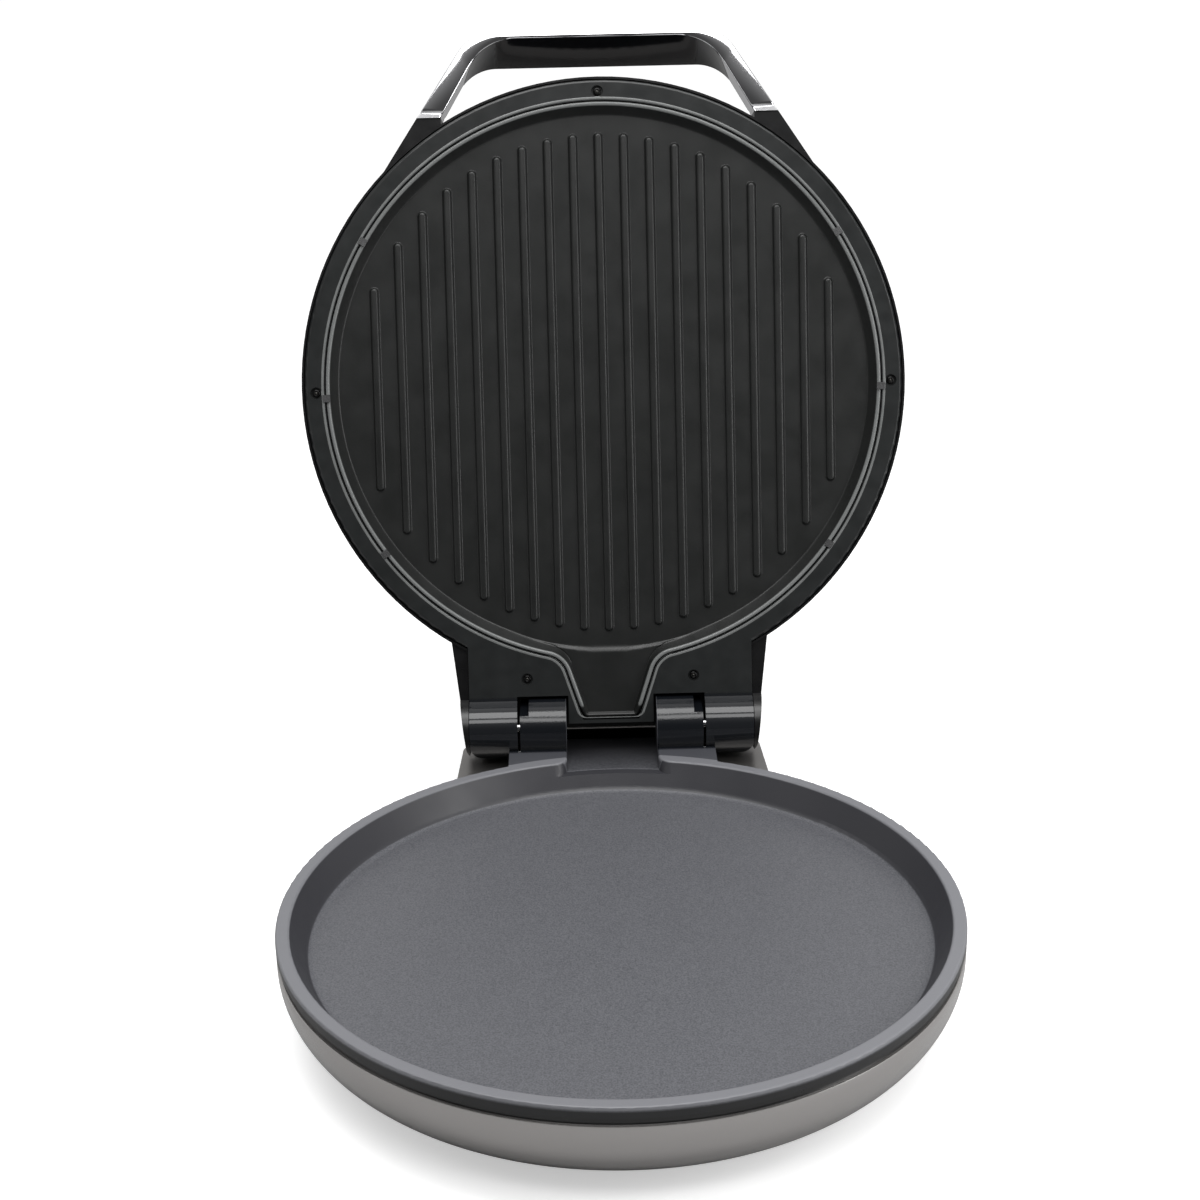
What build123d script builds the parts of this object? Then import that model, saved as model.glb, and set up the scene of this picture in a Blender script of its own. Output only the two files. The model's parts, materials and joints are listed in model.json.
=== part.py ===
"""Round contact grill: a deep flat pan below, a ribbed plate above, joined by a two-knuckle hinge.

Millimetres, +Z up, the hinge along X, the handle towards -Y when the lid is shut. The origin is on the
surface that the press stands on, under the middle of the open press. The lid is drawn in its own frame,
LID, whose plane z = 0 is the bezel's face and whose +Z points away from the food; that frame is turned
back about the hinge by OPEN_ANGLE, so every lid piece is made where it stands when the press is open.
"""
from build123d import *
from math import cos, radians, sin, sqrt, tan
import os

os.makedirs("parts", exist_ok=True)

# ------------------------------------------------------------------ driving dimensions (mm, degrees)
BODY_R = 168.0  # outside radius of the pan's rim and of the lid
RIM_Z = 60.0  # height of the pan's rim above the table
FEET_H = 4.0  # underside of the housings above the table
PAN_Y = -76.6  # centre of the pan, so that the open press is centred on the origin
HINGE_Y = 192.4  # hinge axis behind the pan's centre
HINGE_RISE = 6.7  # hinge axis above the rim
LID_GAP = 1.0  # rim to bezel when shut
OPEN_ANGLE = 107.0  # the lid at rest on its stop
FIT = 0.3  # gap left between two pieces that only sit together
RUNNING = 0.05  # radial clearance of the hinge pins in their bores

# lower pan
RIM_INNER_R = 161.5
FLOOR_R = 153.1
FLOOR_DEPTH = 15.0
PAN_T = 3.5
LIP_H = 5.5
LIP_T = 3.0

# hinge
PIN_R = 2.5
KNUCKLE_R = 17.0
BASE_KNUCKLE = (25.5, 51.5)  # inner and outer |x|
LID_KNUCKLE = (53.0, 80.0)
DECK_T = 10.3
CHANNEL_DEPTH = 6.5
CHANNEL_FLARE_R = 8.0  # rounding where the channel's walls meet the pan's wall
CHANNEL_MOUTH = BASE_KNUCKLE[0] + CHANNEL_FLARE_R

# housings
SHELL_T = 2.2
SHELL_TOP_Z = 50.5
SHELL_FLAT_R = 114.0
SHELL_CURVE_Z = 46.0  # where the bowl's curve starts
HOUSING_TOP_Z = 47.5
HOUSING_BACK_Y = 212.7
HOUSING_T = 2.5
SCREW_RING_R = 125.0

# bezel and upper plate
BEZEL_R = 166.4
BEZEL_T = 3.0
BEZEL_INNER_R = 155.2
PLATE_R = 154.4
PLATE_FACE = 0.4  # plate's rim behind the bezel's face
RECESS = 6.0  # cooking surface behind the plate's rim
COOK_R = 148.2
RIM_LAND = 2.4  # flat on the plate's rim
PLATE_T = 3.5
RIB_COUNT = 19
RIB_PITCH = 14.05
RIB_W = 4.8
RIB_H = 1.8
RIB_CIRCLE_R = 138.5
TONGUE_HALF = (22.5, 12.5)  # half width of the trough at its root and at its tip
TONGUE_Y = (158.0, 188.0)
TONGUE_WALL = 2.6
TONGUE_RISE = 1.2  # trough's floor in front of the cooking surface
TONGUE_FLARE_R = 14.0

# lid cover
RING_TOP = 14.0
DOME_TOP = 45.0
DOME_FLAT_R = 100.0
DOME_T = 1.8
TAIL_HALF = (88.0, 82.0)
HANDLE_DEPTH = 22.0

# heating
TUBE_R = 3.25
ELEMENT_R = 104.0
ELEMENT_LEG_X = 18.0
ELEMENT_LEG_Y = 138.0

# ------------------------------------------------------------------ frames
HINGE_DROP = HINGE_RISE - LID_GAP  # hinge axis behind the bezel's face
BASE = Plane((0, PAN_Y, 0))
LID = Plane(
    Location((0, PAN_Y + HINGE_Y, RIM_Z + HINGE_RISE), (-OPEN_ANGLE, 0, 0))
    * Location((0, -HINGE_Y, -HINGE_DROP))
)
FLOOR_Z = RIM_Z - FLOOR_DEPTH
PAN_UNDER_Z = FLOOR_Z - PAN_T
DECK_UNDER_Z = RIM_Z - DECK_T
CHANNEL_Z = RIM_Z - CHANNEL_DEPTH
COOK_H = PLATE_FACE + RECESS  # cooking surface behind the bezel's face
PLATE_BACK = COOK_H + PLATE_T


def section(frame):
    """Upright plane across a body: x to the right, height up. Profiles on it are revolved."""
    return Plane(frame.origin, x_dir=frame.x_dir, z_dir=-frame.y_dir)


def side(frame, x=0.0):
    """Upright plane along a body at a distance x from its middle: depth to the right, height up."""
    return Plane(frame.origin + frame.x_dir * x, x_dir=frame.y_dir, z_dir=frame.x_dir)


def rear(frame, y):
    """Upright plane at depth y, facing backwards: x to the left, height up."""
    return Plane(frame.origin + frame.y_dir * y, x_dir=-frame.x_dir, z_dir=frame.y_dir)


def spin(frame):
    return Axis(frame.origin, frame.z_dir)


def of_radius(shape_edges, radius, tolerance=0.02):
    return shape_edges.filter_by(GeomType.CIRCLE).filter_by(lambda e: abs(e.radius - radius) < tolerance)


def polar(radius, angle):
    return radius * cos(radians(angle)), radius * sin(radians(angle))


def bowl_outline(grow=0.0):
    """Outside profile of the lower bowl, half section, grown outwards by grow."""
    with BuildSketch(section(BASE)) as outline:
        with BuildLine():
            Polyline((0, SHELL_TOP_Z), (0, FEET_H - grow), (SHELL_FLAT_R, FEET_H - grow))
            EllipticalCenterArc(
                (SHELL_FLAT_R, SHELL_CURVE_Z),
                BODY_R - SHELL_FLAT_R + grow,
                SHELL_CURVE_Z - FEET_H + grow,
                start_angle=-90,
                arc_size=90,
            )
            Polyline((BODY_R + grow, SHELL_CURVE_Z), (BODY_R + grow, SHELL_TOP_Z), (0, SHELL_TOP_Z))
        make_face()
    return outline.sketch


def dome_outline(grow=0.0):
    """Outside profile of the lid's dome, half section, grown outwards by grow."""
    radius = BODY_R - 2.2 + grow
    foot = RING_TOP - FIT / 2 - grow
    with BuildSketch(section(LID)) as outline:
        with BuildLine():
            Polyline((0, foot), (radius, foot), (radius, RING_TOP))
            EllipticalCenterArc(
                (DOME_FLAT_R, RING_TOP),
                radius - DOME_FLAT_R,
                DOME_TOP - RING_TOP + grow,
                start_angle=0,
                arc_size=90,
            )
            Polyline((DOME_FLAT_R, DOME_TOP + grow), (0, DOME_TOP + grow), (0, foot))
        make_face()
    return outline.sketch


# ------------------------------------------------------------------ lower pan
STEP_HALF_X = 58.0
STEP_Y = 176.0
DECK_FRONT_Y = 142.0  # inside the pan's wall
EDGE_R = 1.2  # rounding of the pan's rims
BOSS_R = 5.0
BOSS_SHOULDER_R = 6.5
BOSS_SHOULDER_Z = 27.0
BOSS_FOOT_Z = 10.0
SCREW_R = 2.0
STRAP_R = 92.0
STRAP_ANGLES = (30.0, 150.0, 270.0)
KNUCKLE_FLAT_X = 46.5
KNUCKLE_FLAT_RISE = 12.5

with BuildPart() as lower_pan:
    with BuildSketch(section(BASE)):
        with BuildLine():
            Line((0, RIM_Z), (BODY_R - EDGE_R, RIM_Z))
            CenterArc((BODY_R - EDGE_R, RIM_Z - EDGE_R), EDGE_R, 0, 90)
            Polyline(
                (BODY_R, RIM_Z - EDGE_R),
                (BODY_R, RIM_Z - LIP_H),
                (BODY_R - LIP_T, RIM_Z - LIP_H),
                (BODY_R - LIP_T, RIM_Z - PAN_T),
                (RIM_INNER_R + 1.0, RIM_Z - PAN_T),
                (FLOOR_R + 1.5, PAN_UNDER_Z),
                (0, PAN_UNDER_Z),
                (0, RIM_Z),
            )
        make_face()
    revolve(axis=spin(BASE))
    # deck behind the rim, wider in front of the knuckles, and the two hinge knuckles
    with BuildSketch(BASE.offset(DECK_UNDER_Z)):
        with Locations((0, (DECK_FRONT_Y + HINGE_Y) / 2)):
            Rectangle(2 * BASE_KNUCKLE[1], HINGE_Y - DECK_FRONT_Y)
    extrude(amount=DECK_T)
    with BuildSketch(BASE.offset(DECK_UNDER_Z)):
        with Locations((0, (DECK_FRONT_Y + STEP_Y) / 2)):
            Rectangle(2 * STEP_HALF_X, STEP_Y - DECK_FRONT_Y)
    extrude(amount=DECK_T)
    with BuildSketch(side(BASE, -BASE_KNUCKLE[1])):
        with Locations((HINGE_Y, RIM_Z + HINGE_RISE)):
            Circle(KNUCKLE_R)
    extrude(amount=2 * BASE_KNUCKLE[1])
    # flats on the upper outer corners of the knuckles
    for hand in (-1, 1):
        with BuildSketch(BASE.offset(RIM_Z + HINGE_RISE + KNUCKLE_FLAT_RISE)):
            with Locations((hand * (KNUCKLE_FLAT_X + KNUCKLE_R / 2), HINGE_Y)):
                Rectangle(KNUCKLE_R, 3 * KNUCKLE_R)
        extrude(amount=KNUCKLE_R, mode=Mode.SUBTRACT)
    # inside of the pan
    with BuildSketch(section(BASE)):
        with BuildLine():
            Polyline(
                (0, FLOOR_Z),
                (FLOOR_R, FLOOR_Z),
                (RIM_INNER_R, RIM_Z),
                (RIM_INNER_R, RIM_Z + 2 * KNUCKLE_R),
                (0, RIM_Z + 2 * KNUCKLE_R),
                close=True,
            )
        make_face()
    revolve(axis=spin(BASE), mode=Mode.SUBTRACT)
    # drain channel between the knuckles
    with BuildSketch(BASE.offset(CHANNEL_Z)):
        with Locations((0, HINGE_Y)):
            Rectangle(2 * BASE_KNUCKLE[0], 2 * (HINGE_Y - DECK_FRONT_Y))
    extrude(amount=3 * KNUCKLE_R, mode=Mode.SUBTRACT)
    # its mouth, rounded into the pan's wall
    mouth = lower_pan.edges().filter_by(lambda e: abs(abs(e.center().X) - BASE_KNUCKLE[0]) < 0.1)
    mouth = mouth.filter_by(lambda e: CHANNEL_Z < e.center().Z < RIM_Z)
    fillet(mouth.group_by(spin(BASE))[0], CHANNEL_FLARE_R)
    tops = lower_pan.edges().filter_by(lambda e: abs(e.center().Z - RIM_Z) < 0.01)
    mouth_tops = tops.filter_by(lambda e: abs(e.center().X) < CHANNEL_MOUTH and e.center().Y - PAN_Y < BODY_R)
    fillet(mouth_tops + of_radius(tops, RIM_INNER_R), EDGE_R)
    # bores for the hinge pins
    with BuildSketch(side(BASE, -BASE_KNUCKLE[1])):
        with Locations((HINGE_Y, RIM_Z + HINGE_RISE)):
            Circle(PIN_R + RUNNING)
    extrude(amount=2 * BASE_KNUCKLE[1], mode=Mode.SUBTRACT)
    # screw bosses under the floor, and short posts for the element straps
    with BuildSketch(BASE.offset(PAN_UNDER_Z)):
        with PolarLocations(SCREW_RING_R, 4, start_angle=45):
            Circle(BOSS_SHOULDER_R)
    extrude(amount=BOSS_SHOULDER_Z - PAN_UNDER_Z)
    with BuildSketch(BASE.offset(BOSS_SHOULDER_Z)):
        with PolarLocations(SCREW_RING_R, 4, start_angle=45):
            Circle(BOSS_R)
    extrude(amount=BOSS_FOOT_Z - BOSS_SHOULDER_Z)
    with BuildSketch(BASE.offset(BOSS_FOOT_Z)):
        with PolarLocations(SCREW_RING_R, 4, start_angle=45):
            Circle(SCREW_R + RUNNING)
    extrude(amount=BOSS_SHOULDER_Z - BOSS_FOOT_Z, mode=Mode.SUBTRACT)
    with BuildSketch(BASE.offset(PAN_UNDER_Z)):
        with PolarLocations(STRAP_R, 3, start_angle=STRAP_ANGLES[0]):
            Circle(3.5)
    extrude(amount=-2 * TUBE_R)
    with BuildSketch(BASE.offset(PAN_UNDER_Z - 2 * TUBE_R)):
        with PolarLocations(STRAP_R, 3, start_angle=STRAP_ANGLES[0]):
            Circle(1.5 + RUNNING)
    extrude(amount=1.6 * TUBE_R, mode=Mode.SUBTRACT)
    fillet(of_radius(lower_pan.edges(), FLOOR_R), 5.0)
lower_pan.part.label = "lower_pan"
export_step(lower_pan.part, "parts/lower_pan.step")

# ------------------------------------------------------------------ base: trim ring, bowl, rear housing
TRIM_R = 166.6
TRIM_INNER_R = 162.0
NOTCH_HALF_X = STEP_HALF_X + 0.6

with BuildPart() as base_trim_ring:
    with BuildSketch(section(BASE)):
        with BuildLine():
            Polyline(
                (TRIM_INNER_R, RIM_Z - LIP_H - 0.1),
                (TRIM_R, RIM_Z - LIP_H - 0.1),
                (TRIM_R, SHELL_TOP_Z + 0.1),
                (BODY_R - SHELL_T - 0.2, SHELL_TOP_Z + 0.1),
                (BODY_R - SHELL_T - 0.2, SHELL_TOP_Z - 3.0),
                (BODY_R - SHELL_T - 2.4, SHELL_TOP_Z - 3.0),
                (BODY_R - SHELL_T - 2.4, SHELL_TOP_Z + 1.6),
                (TRIM_INNER_R, SHELL_TOP_Z + 1.6),
                close=True,
            )
        make_face()
    revolve(axis=spin(BASE))
    with BuildSketch(BASE.offset(SHELL_TOP_Z - 5.0)):
        with Locations((0, BODY_R)):
            Rectangle(2 * NOTCH_HALF_X, 0.5 * BODY_R)
    extrude(amount=12.0, mode=Mode.SUBTRACT)
base_trim_ring.part.label = "base_trim_ring"
export_step(base_trim_ring.part, "parts/base_trim_ring.step")

PAD_R = 12.0
WINDOW = (64.0, 24.0)  # opening in the bowl's back for the wires
WINDOW_Z = 32.0

with BuildPart() as base_shell:
    add(bowl_outline())
    revolve(axis=spin(BASE))
    with BuildSketch(BASE.offset(FEET_H)):
        with PolarLocations(SCREW_RING_R, 4, start_angle=45):
            Circle(PAD_R)
    extrude(amount=6.0)
    with BuildSketch(section(BASE)):
        with BuildLine():
            Polyline((0, SHELL_TOP_Z), (0, FEET_H + SHELL_T), (SHELL_FLAT_R, FEET_H + SHELL_T))
            EllipticalCenterArc(
                (SHELL_FLAT_R, SHELL_CURVE_Z),
                BODY_R - SHELL_FLAT_R - SHELL_T,
                SHELL_CURVE_Z - FEET_H - SHELL_T,
                start_angle=-90,
                arc_size=90,
            )
            Polyline((BODY_R - SHELL_T, SHELL_CURVE_Z), (BODY_R - SHELL_T, SHELL_TOP_Z), (0, SHELL_TOP_Z))
        make_face()
    revolve(axis=spin(BASE), mode=Mode.SUBTRACT)
    with BuildSketch(BASE.offset(FEET_H)):
        with PolarLocations(SCREW_RING_R, 4, start_angle=45):
            Circle(SCREW_R + 0.3)
    extrude(amount=10.0, mode=Mode.SUBTRACT)
    with BuildSketch(BASE.offset(DECK_UNDER_Z - FIT)):
        with Locations((0, BODY_R)):
            Rectangle(2 * NOTCH_HALF_X, 0.5 * BODY_R)
    extrude(amount=12.0, mode=Mode.SUBTRACT)
    with BuildSketch(rear(BASE, BODY_R / 2)):
        with Locations((0, WINDOW_Z)):
            RectangleRounded(*WINDOW, 4.0)
    extrude(amount=BODY_R, mode=Mode.SUBTRACT)
base_shell.part.label = "base_shell"
export_step(base_shell.part, "parts/base_shell.step")

HOUSING_FRONT_Y = 142.0
HOUSING_HALF = (89.0, 85.0)  # half width at the front and at the back
HOUSING_CORNER_R = 10.0
STOP_Z = RIM_Z + HINGE_RISE - 10.5  # top of the rear wall, which the open lid rests on
GLAND_X = 44.0
GLAND_Z = 24.0
GLAND_HOLE_R = 6.5
REAR_FOOT = (62.0, 192.0)
REAR_FEET = [(-REAR_FOOT[0], REAR_FOOT[1]), REAR_FOOT]
VENT_COUNT = 9


def housing_plan(inset=0.0):
    """Plan outline of the rear housing, shrunk inwards by inset."""
    with BuildSketch(BASE.offset(FEET_H)) as plan:
        with BuildLine():
            Polyline(
                (-HOUSING_HALF[0] + inset, HOUSING_FRONT_Y),
                (-HOUSING_HALF[1] + inset, HOUSING_BACK_Y - inset),
                (HOUSING_HALF[1] - inset, HOUSING_BACK_Y - inset),
                (HOUSING_HALF[0] - inset, HOUSING_FRONT_Y),
                close=True,
            )
        make_face()
        fillet(plan.vertices().group_by(Axis.Y)[-1], HOUSING_CORNER_R - inset)
    return plan.sketch


with BuildPart() as rear_housing:
    extrude(housing_plan(), amount=HOUSING_TOP_Z - FEET_H)
    with BuildSketch(BASE.offset(HOUSING_TOP_Z)):
        with Locations((0, HOUSING_BACK_Y - HOUSING_T / 2)):
            Rectangle(2 * (HOUSING_HALF[1] - HOUSING_CORNER_R), HOUSING_T)
    extrude(amount=STOP_Z - HOUSING_TOP_Z)
    extrude(housing_plan(HOUSING_T), amount=HOUSING_TOP_Z - FEET_H - HOUSING_T, mode=Mode.SUBTRACT)
    with BuildSketch(BASE.offset(HOUSING_TOP_Z - HOUSING_T)):
        with Locations(*REAR_FEET):
            Circle(BOSS_R)
    extrude(amount=-(HOUSING_TOP_Z - HOUSING_T - FEET_H - 3.0))
    with BuildSketch(BASE.offset(FEET_H)):
        with Locations(*REAR_FEET):
            Circle(SCREW_R + RUNNING)
    extrude(amount=22.0, mode=Mode.SUBTRACT)
    with BuildSketch(rear(BASE, HINGE_Y)):
        with Locations((-GLAND_X, GLAND_Z)):
            Circle(GLAND_HOLE_R)
        with Locations((GLAND_X / 2, GLAND_Z)):
            with GridLocations(6.0, 0, VENT_COUNT, 1):
                SlotOverall(20.0, 2.4, rotation=90)
    extrude(amount=HOUSING_BACK_Y - HINGE_Y + 1.0, mode=Mode.SUBTRACT)
    add(bowl_outline(FIT))
    revolve(axis=spin(BASE), mode=Mode.SUBTRACT)
rear_housing.part.label = "rear_housing"
export_step(rear_housing.part, "parts/rear_housing.step")

with BuildPart() as housing_floor:
    extrude(housing_plan(HOUSING_T + FIT), amount=2.6)
    with BuildSketch(BASE.offset(FEET_H)):
        with Locations(*REAR_FEET):
            Circle(SCREW_R + 0.3)
    extrude(amount=3.0, mode=Mode.SUBTRACT)
    add(bowl_outline(2 * FIT))
    revolve(axis=spin(BASE), mode=Mode.SUBTRACT)
housing_floor.part.label = "housing_floor"
export_step(housing_floor.part, "parts/housing_floor.step")

# rubber feet: two under the bowl's front bosses, two under the rear housing
FOOT_R = 10.0
SCREW_HEAD_R = 3.6
SCREW_HEAD_H = 2.0
FRONT_BOSS = [polar(SCREW_RING_R, angle) for angle in (225, 315)]
REAR_BOSS = [polar(SCREW_RING_R, angle) for angle in (45, 135)]

with BuildPart() as rubber_feet:
    with BuildSketch(BASE.offset(FEET_H)):
        with Locations(*FRONT_BOSS, *REAR_FEET):
            Circle(FOOT_R)
    extrude(amount=-FEET_H)
    fillet(rubber_feet.edges().group_by(Axis.Z)[0], 0.8)
    with BuildSketch(BASE):
        with Locations(*FRONT_BOSS, *REAR_FEET):
            Circle(SCREW_HEAD_R + FIT)
    extrude(amount=SCREW_HEAD_H + 1.0, mode=Mode.SUBTRACT)
    with BuildSketch(BASE):
        with Locations(*FRONT_BOSS, *REAR_FEET):
            Circle(SCREW_R + FIT)
    extrude(amount=FEET_H, mode=Mode.SUBTRACT)
rubber_feet.part.label = "rubber_feet"
export_step(rubber_feet.part, "parts/rubber_feet.step")


def screw(frame, places, head_r, head_h, shank_r, length):
    """Pan-head screws, heads on the given plane and shanks along its +Z, with a cross recess."""
    with BuildSketch(frame) as heads:
        with Locations(*places):
            Circle(head_r)
    extrude(heads.sketch, amount=-head_h)
    with BuildSketch(frame) as shanks:
        with Locations(*places):
            Circle(shank_r)
    extrude(shanks.sketch, amount=length)
    with BuildSketch(frame.offset(-head_h)) as crosses:
        with Locations(*places):
            Rectangle(1.3 * head_r, 0.3 * head_r)
            Rectangle(0.3 * head_r, 1.3 * head_r)
    extrude(crosses.sketch, amount=0.45 * head_h, mode=Mode.SUBTRACT)


with BuildPart() as base_screws:
    foot_plane = BASE.offset(SCREW_HEAD_H + 0.9)
    screw(foot_plane, FRONT_BOSS, SCREW_HEAD_R, SCREW_HEAD_H, SCREW_R, BOSS_SHOULDER_Z - 7.0)
    screw(BASE.offset(FEET_H - 0.1), REAR_BOSS, SCREW_HEAD_R, SCREW_HEAD_H, SCREW_R, BOSS_SHOULDER_Z - 8.0)
    screw(foot_plane, REAR_FEET, SCREW_HEAD_R, SCREW_HEAD_H, SCREW_R, 20.0)
base_screws.part.label = "base_screws"
export_step(base_screws.part, "parts/base_screws.step")

CORD_R = 3.5
GLAND_BORE_R = CORD_R + 0.1
GLAND_LENGTH = 14.0

with BuildPart() as cord_gland:
    with BuildSketch(rear(BASE, HOUSING_BACK_Y)):
        with Locations((-GLAND_X, GLAND_Z)):
            Circle(GLAND_HOLE_R + 2.5)
    extrude(amount=3.0)
    fillet(cord_gland.edges().group_by(Axis.Y)[-1], 1.0)
    with BuildSketch(rear(BASE, HOUSING_BACK_Y)):
        with Locations((-GLAND_X, GLAND_Z)):
            Circle(GLAND_HOLE_R - 0.1)
    extrude(amount=3.0 - GLAND_LENGTH)
    with BuildSketch(rear(BASE, HOUSING_BACK_Y - GLAND_LENGTH)):
        with Locations((-GLAND_X, GLAND_Z)):
            Circle(GLAND_BORE_R)
    extrude(amount=2 * GLAND_LENGTH, mode=Mode.SUBTRACT)
cord_gland.part.label = "cord_gland"
export_step(cord_gland.part, "parts/cord_gland.step")

for name, hand in (("hinge_pin_left", -1), ("hinge_pin_right", 1)):
    with BuildPart() as hinge_pin:
        with BuildSketch(side(BASE, hand * (BASE_KNUCKLE[0] + 1.0))):
            with Locations((HINGE_Y, RIM_Z + HINGE_RISE)):
                Circle(PIN_R)
        extrude(amount=hand * (LID_KNUCKLE[1] - BASE_KNUCKLE[0] - 2.0))
        chamfer(of_radius(hinge_pin.edges(), PIN_R), 0.4)
    hinge_pin.part.label = name
    export_step(hinge_pin.part, f"parts/{name}.step")

# ------------------------------------------------------------------ heating parts, used above and below
ELEMENT_GAP_ANGLE = 10.0


def element(frame, height):
    """Tubular heater: an open ring with two legs that run back."""
    leg_x = ELEMENT_R * sin(radians(ELEMENT_GAP_ANGLE))
    leg_y = ELEMENT_R * cos(radians(ELEMENT_GAP_ANGLE))
    with BuildLine(frame.offset(height)) as ring:
        CenterArc((0, 0), ELEMENT_R, 90 + ELEMENT_GAP_ANGLE, 360 - 2 * ELEMENT_GAP_ANGLE)
    with BuildSketch(Plane(ring.line @ 0, z_dir=ring.line % 0)) as tube:
        Circle(TUBE_R)
    sweep(tube.sketch, path=ring.line)
    for hand in (-1, 1):
        start = frame.from_local_coords((hand * leg_x, leg_y, height))
        with Locations(Location(start)):
            Sphere(TUBE_R)
        with BuildSketch(Plane(start, x_dir=frame.x_dir, z_dir=frame.y_dir)) as leg:
            Circle(TUBE_R)
        extrude(leg.sketch, amount=ELEMENT_LEG_Y - leg_y)


def terminals(frame, height):
    """A ceramic bead and a blade on each of the heater's two ends."""
    leg_x = ELEMENT_R * sin(radians(ELEMENT_GAP_ANGLE))
    for hand in (-1, 1):
        start = frame.from_local_coords((hand * leg_x, ELEMENT_LEG_Y, height))
        with BuildSketch(Plane(start, x_dir=frame.x_dir, z_dir=frame.y_dir)) as bead:
            Circle(TUBE_R - 0.1)
        extrude(bead.sketch, amount=5.0)
        tip = frame.from_local_coords((hand * leg_x, ELEMENT_LEG_Y + 5.0, height))
        with BuildSketch(Plane(tip, x_dir=frame.x_dir, z_dir=frame.y_dir)) as blade:
            Rectangle(4.8, 0.9)
        extrude(blade.sketch, amount=7.0)


def straps(frame, height, away):
    """Flat straps that hold the heater's ring, each on one screw post, from height the way away."""
    with BuildSketch(frame.offset(height)) as outline:
        with PolarLocations(STRAP_R + 7.0, 3, start_angle=STRAP_ANGLES[0]):
            RectangleRounded(26.0, 10.0, 2.0)
        with PolarLocations(STRAP_R, 3, start_angle=STRAP_ANGLES[0]):
            Circle(1.5 + 0.2, mode=Mode.SUBTRACT)
    extrude(outline.sketch, amount=away * 1.0)


STRAP_PLACES = [polar(STRAP_R, angle) for angle in STRAP_ANGLES]
LOWER_TUBE_Z = PAN_UNDER_Z - TUBE_R - 0.15
STRAP_Z = PAN_UNDER_Z - 2 * TUBE_R - 0.3

with BuildPart() as lower_element:
    element(BASE, LOWER_TUBE_Z)
lower_element.part.label = "lower_element"
export_step(lower_element.part, "parts/lower_element.step")

with BuildPart() as lower_element_terminals:
    terminals(BASE, LOWER_TUBE_Z)
lower_element_terminals.part.label = "lower_element_terminals"
export_step(lower_element_terminals.part, "parts/lower_element_terminals.step")

with BuildPart() as lower_element_straps:
    straps(BASE, STRAP_Z - 0.1, -1)
lower_element_straps.part.label = "lower_element_straps"
export_step(lower_element_straps.part, "parts/lower_element_straps.step")

with BuildPart() as lower_strap_screws:
    screw(BASE.offset(STRAP_Z - 1.2), STRAP_PLACES, 2.8, 1.6, 1.5, 5.5)
lower_strap_screws.part.label = "lower_strap_screws"
export_step(lower_strap_screws.part, "parts/lower_strap_screws.step")

REFLECTOR_R = 138.0
REFLECTOR_T = 0.8


def reflector(frame, height, holes_r):
    """Sheet disc with holes over the four screw bosses and a rolled edge; height is its lower face."""
    with BuildSketch(frame.offset(height)) as disc:
        Circle(REFLECTOR_R)
        with PolarLocations(SCREW_RING_R, 4, start_angle=45):
            Circle(holes_r, mode=Mode.SUBTRACT)
    extrude(disc.sketch, amount=REFLECTOR_T)
    with BuildSketch(frame.offset(height)) as edge:
        Circle(REFLECTOR_R)
        Circle(REFLECTOR_R - REFLECTOR_T, mode=Mode.SUBTRACT)
    extrude(edge.sketch, amount=4.0)


with BuildPart() as lower_reflector:
    reflector(BASE, BOSS_SHOULDER_Z - REFLECTOR_T - 0.1, BOSS_R + 0.2)
lower_reflector.part.label = "lower_reflector"
export_step(lower_reflector.part, "parts/lower_reflector.step")

THERMOSTAT_Y = 52.0
THERMOSTAT_R = 11.0


def thermostat(frame, height, away):
    """Round bimetal thermostat with two side blades; away is +1 or -1, the way its body stands."""
    with BuildSketch(frame.offset(height)) as flange:
        with Locations((0, THERMOSTAT_Y)):
            Circle(THERMOSTAT_R)
            RectangleRounded(2 * THERMOSTAT_R + 16.0, 9.0, 2.0)
    extrude(flange.sketch, amount=away * 1.2)
    with BuildSketch(frame.offset(height)) as body:
        with Locations((0, THERMOSTAT_Y)):
            Circle(THERMOSTAT_R - 1.5)
    extrude(body.sketch, amount=away * 8.0)
    with BuildSketch(frame.offset(height + away * 5.0)) as blades:
        with Locations((0, THERMOSTAT_Y)):
            Rectangle(2 * THERMOSTAT_R + 10.0, 4.8)
    extrude(blades.sketch, amount=away * 0.8)


def fuse(frame, height):
    """Thermal fuse in its sleeve, lying across the plate."""
    with BuildSketch(side(frame, -22.0)) as sleeve:
        with Locations((-42.0, height)):
            Circle(2.4)
    extrude(sleeve.sketch, amount=44.0)
    with BuildSketch(side(frame, -34.0)) as lead:
        with Locations((-42.0, height)):
            Circle(0.7)
    extrude(lead.sketch, amount=68.0)


with BuildPart() as lower_thermostat:
    thermostat(BASE, PAN_UNDER_Z - 0.1, -1)
lower_thermostat.part.label = "lower_thermostat"
export_step(lower_thermostat.part, "parts/lower_thermostat.step")

with BuildPart() as lower_thermal_fuse:
    fuse(BASE, PAN_UNDER_Z - 2.5)
lower_thermal_fuse.part.label = "lower_thermal_fuse"
export_step(lower_thermal_fuse.part, "parts/lower_thermal_fuse.step")

BLOCK_Y = 186.0
BLOCK_Z = FEET_H + 3.0
BLOCK_SIZE = (36.0, 16.0, 13.0)

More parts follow.
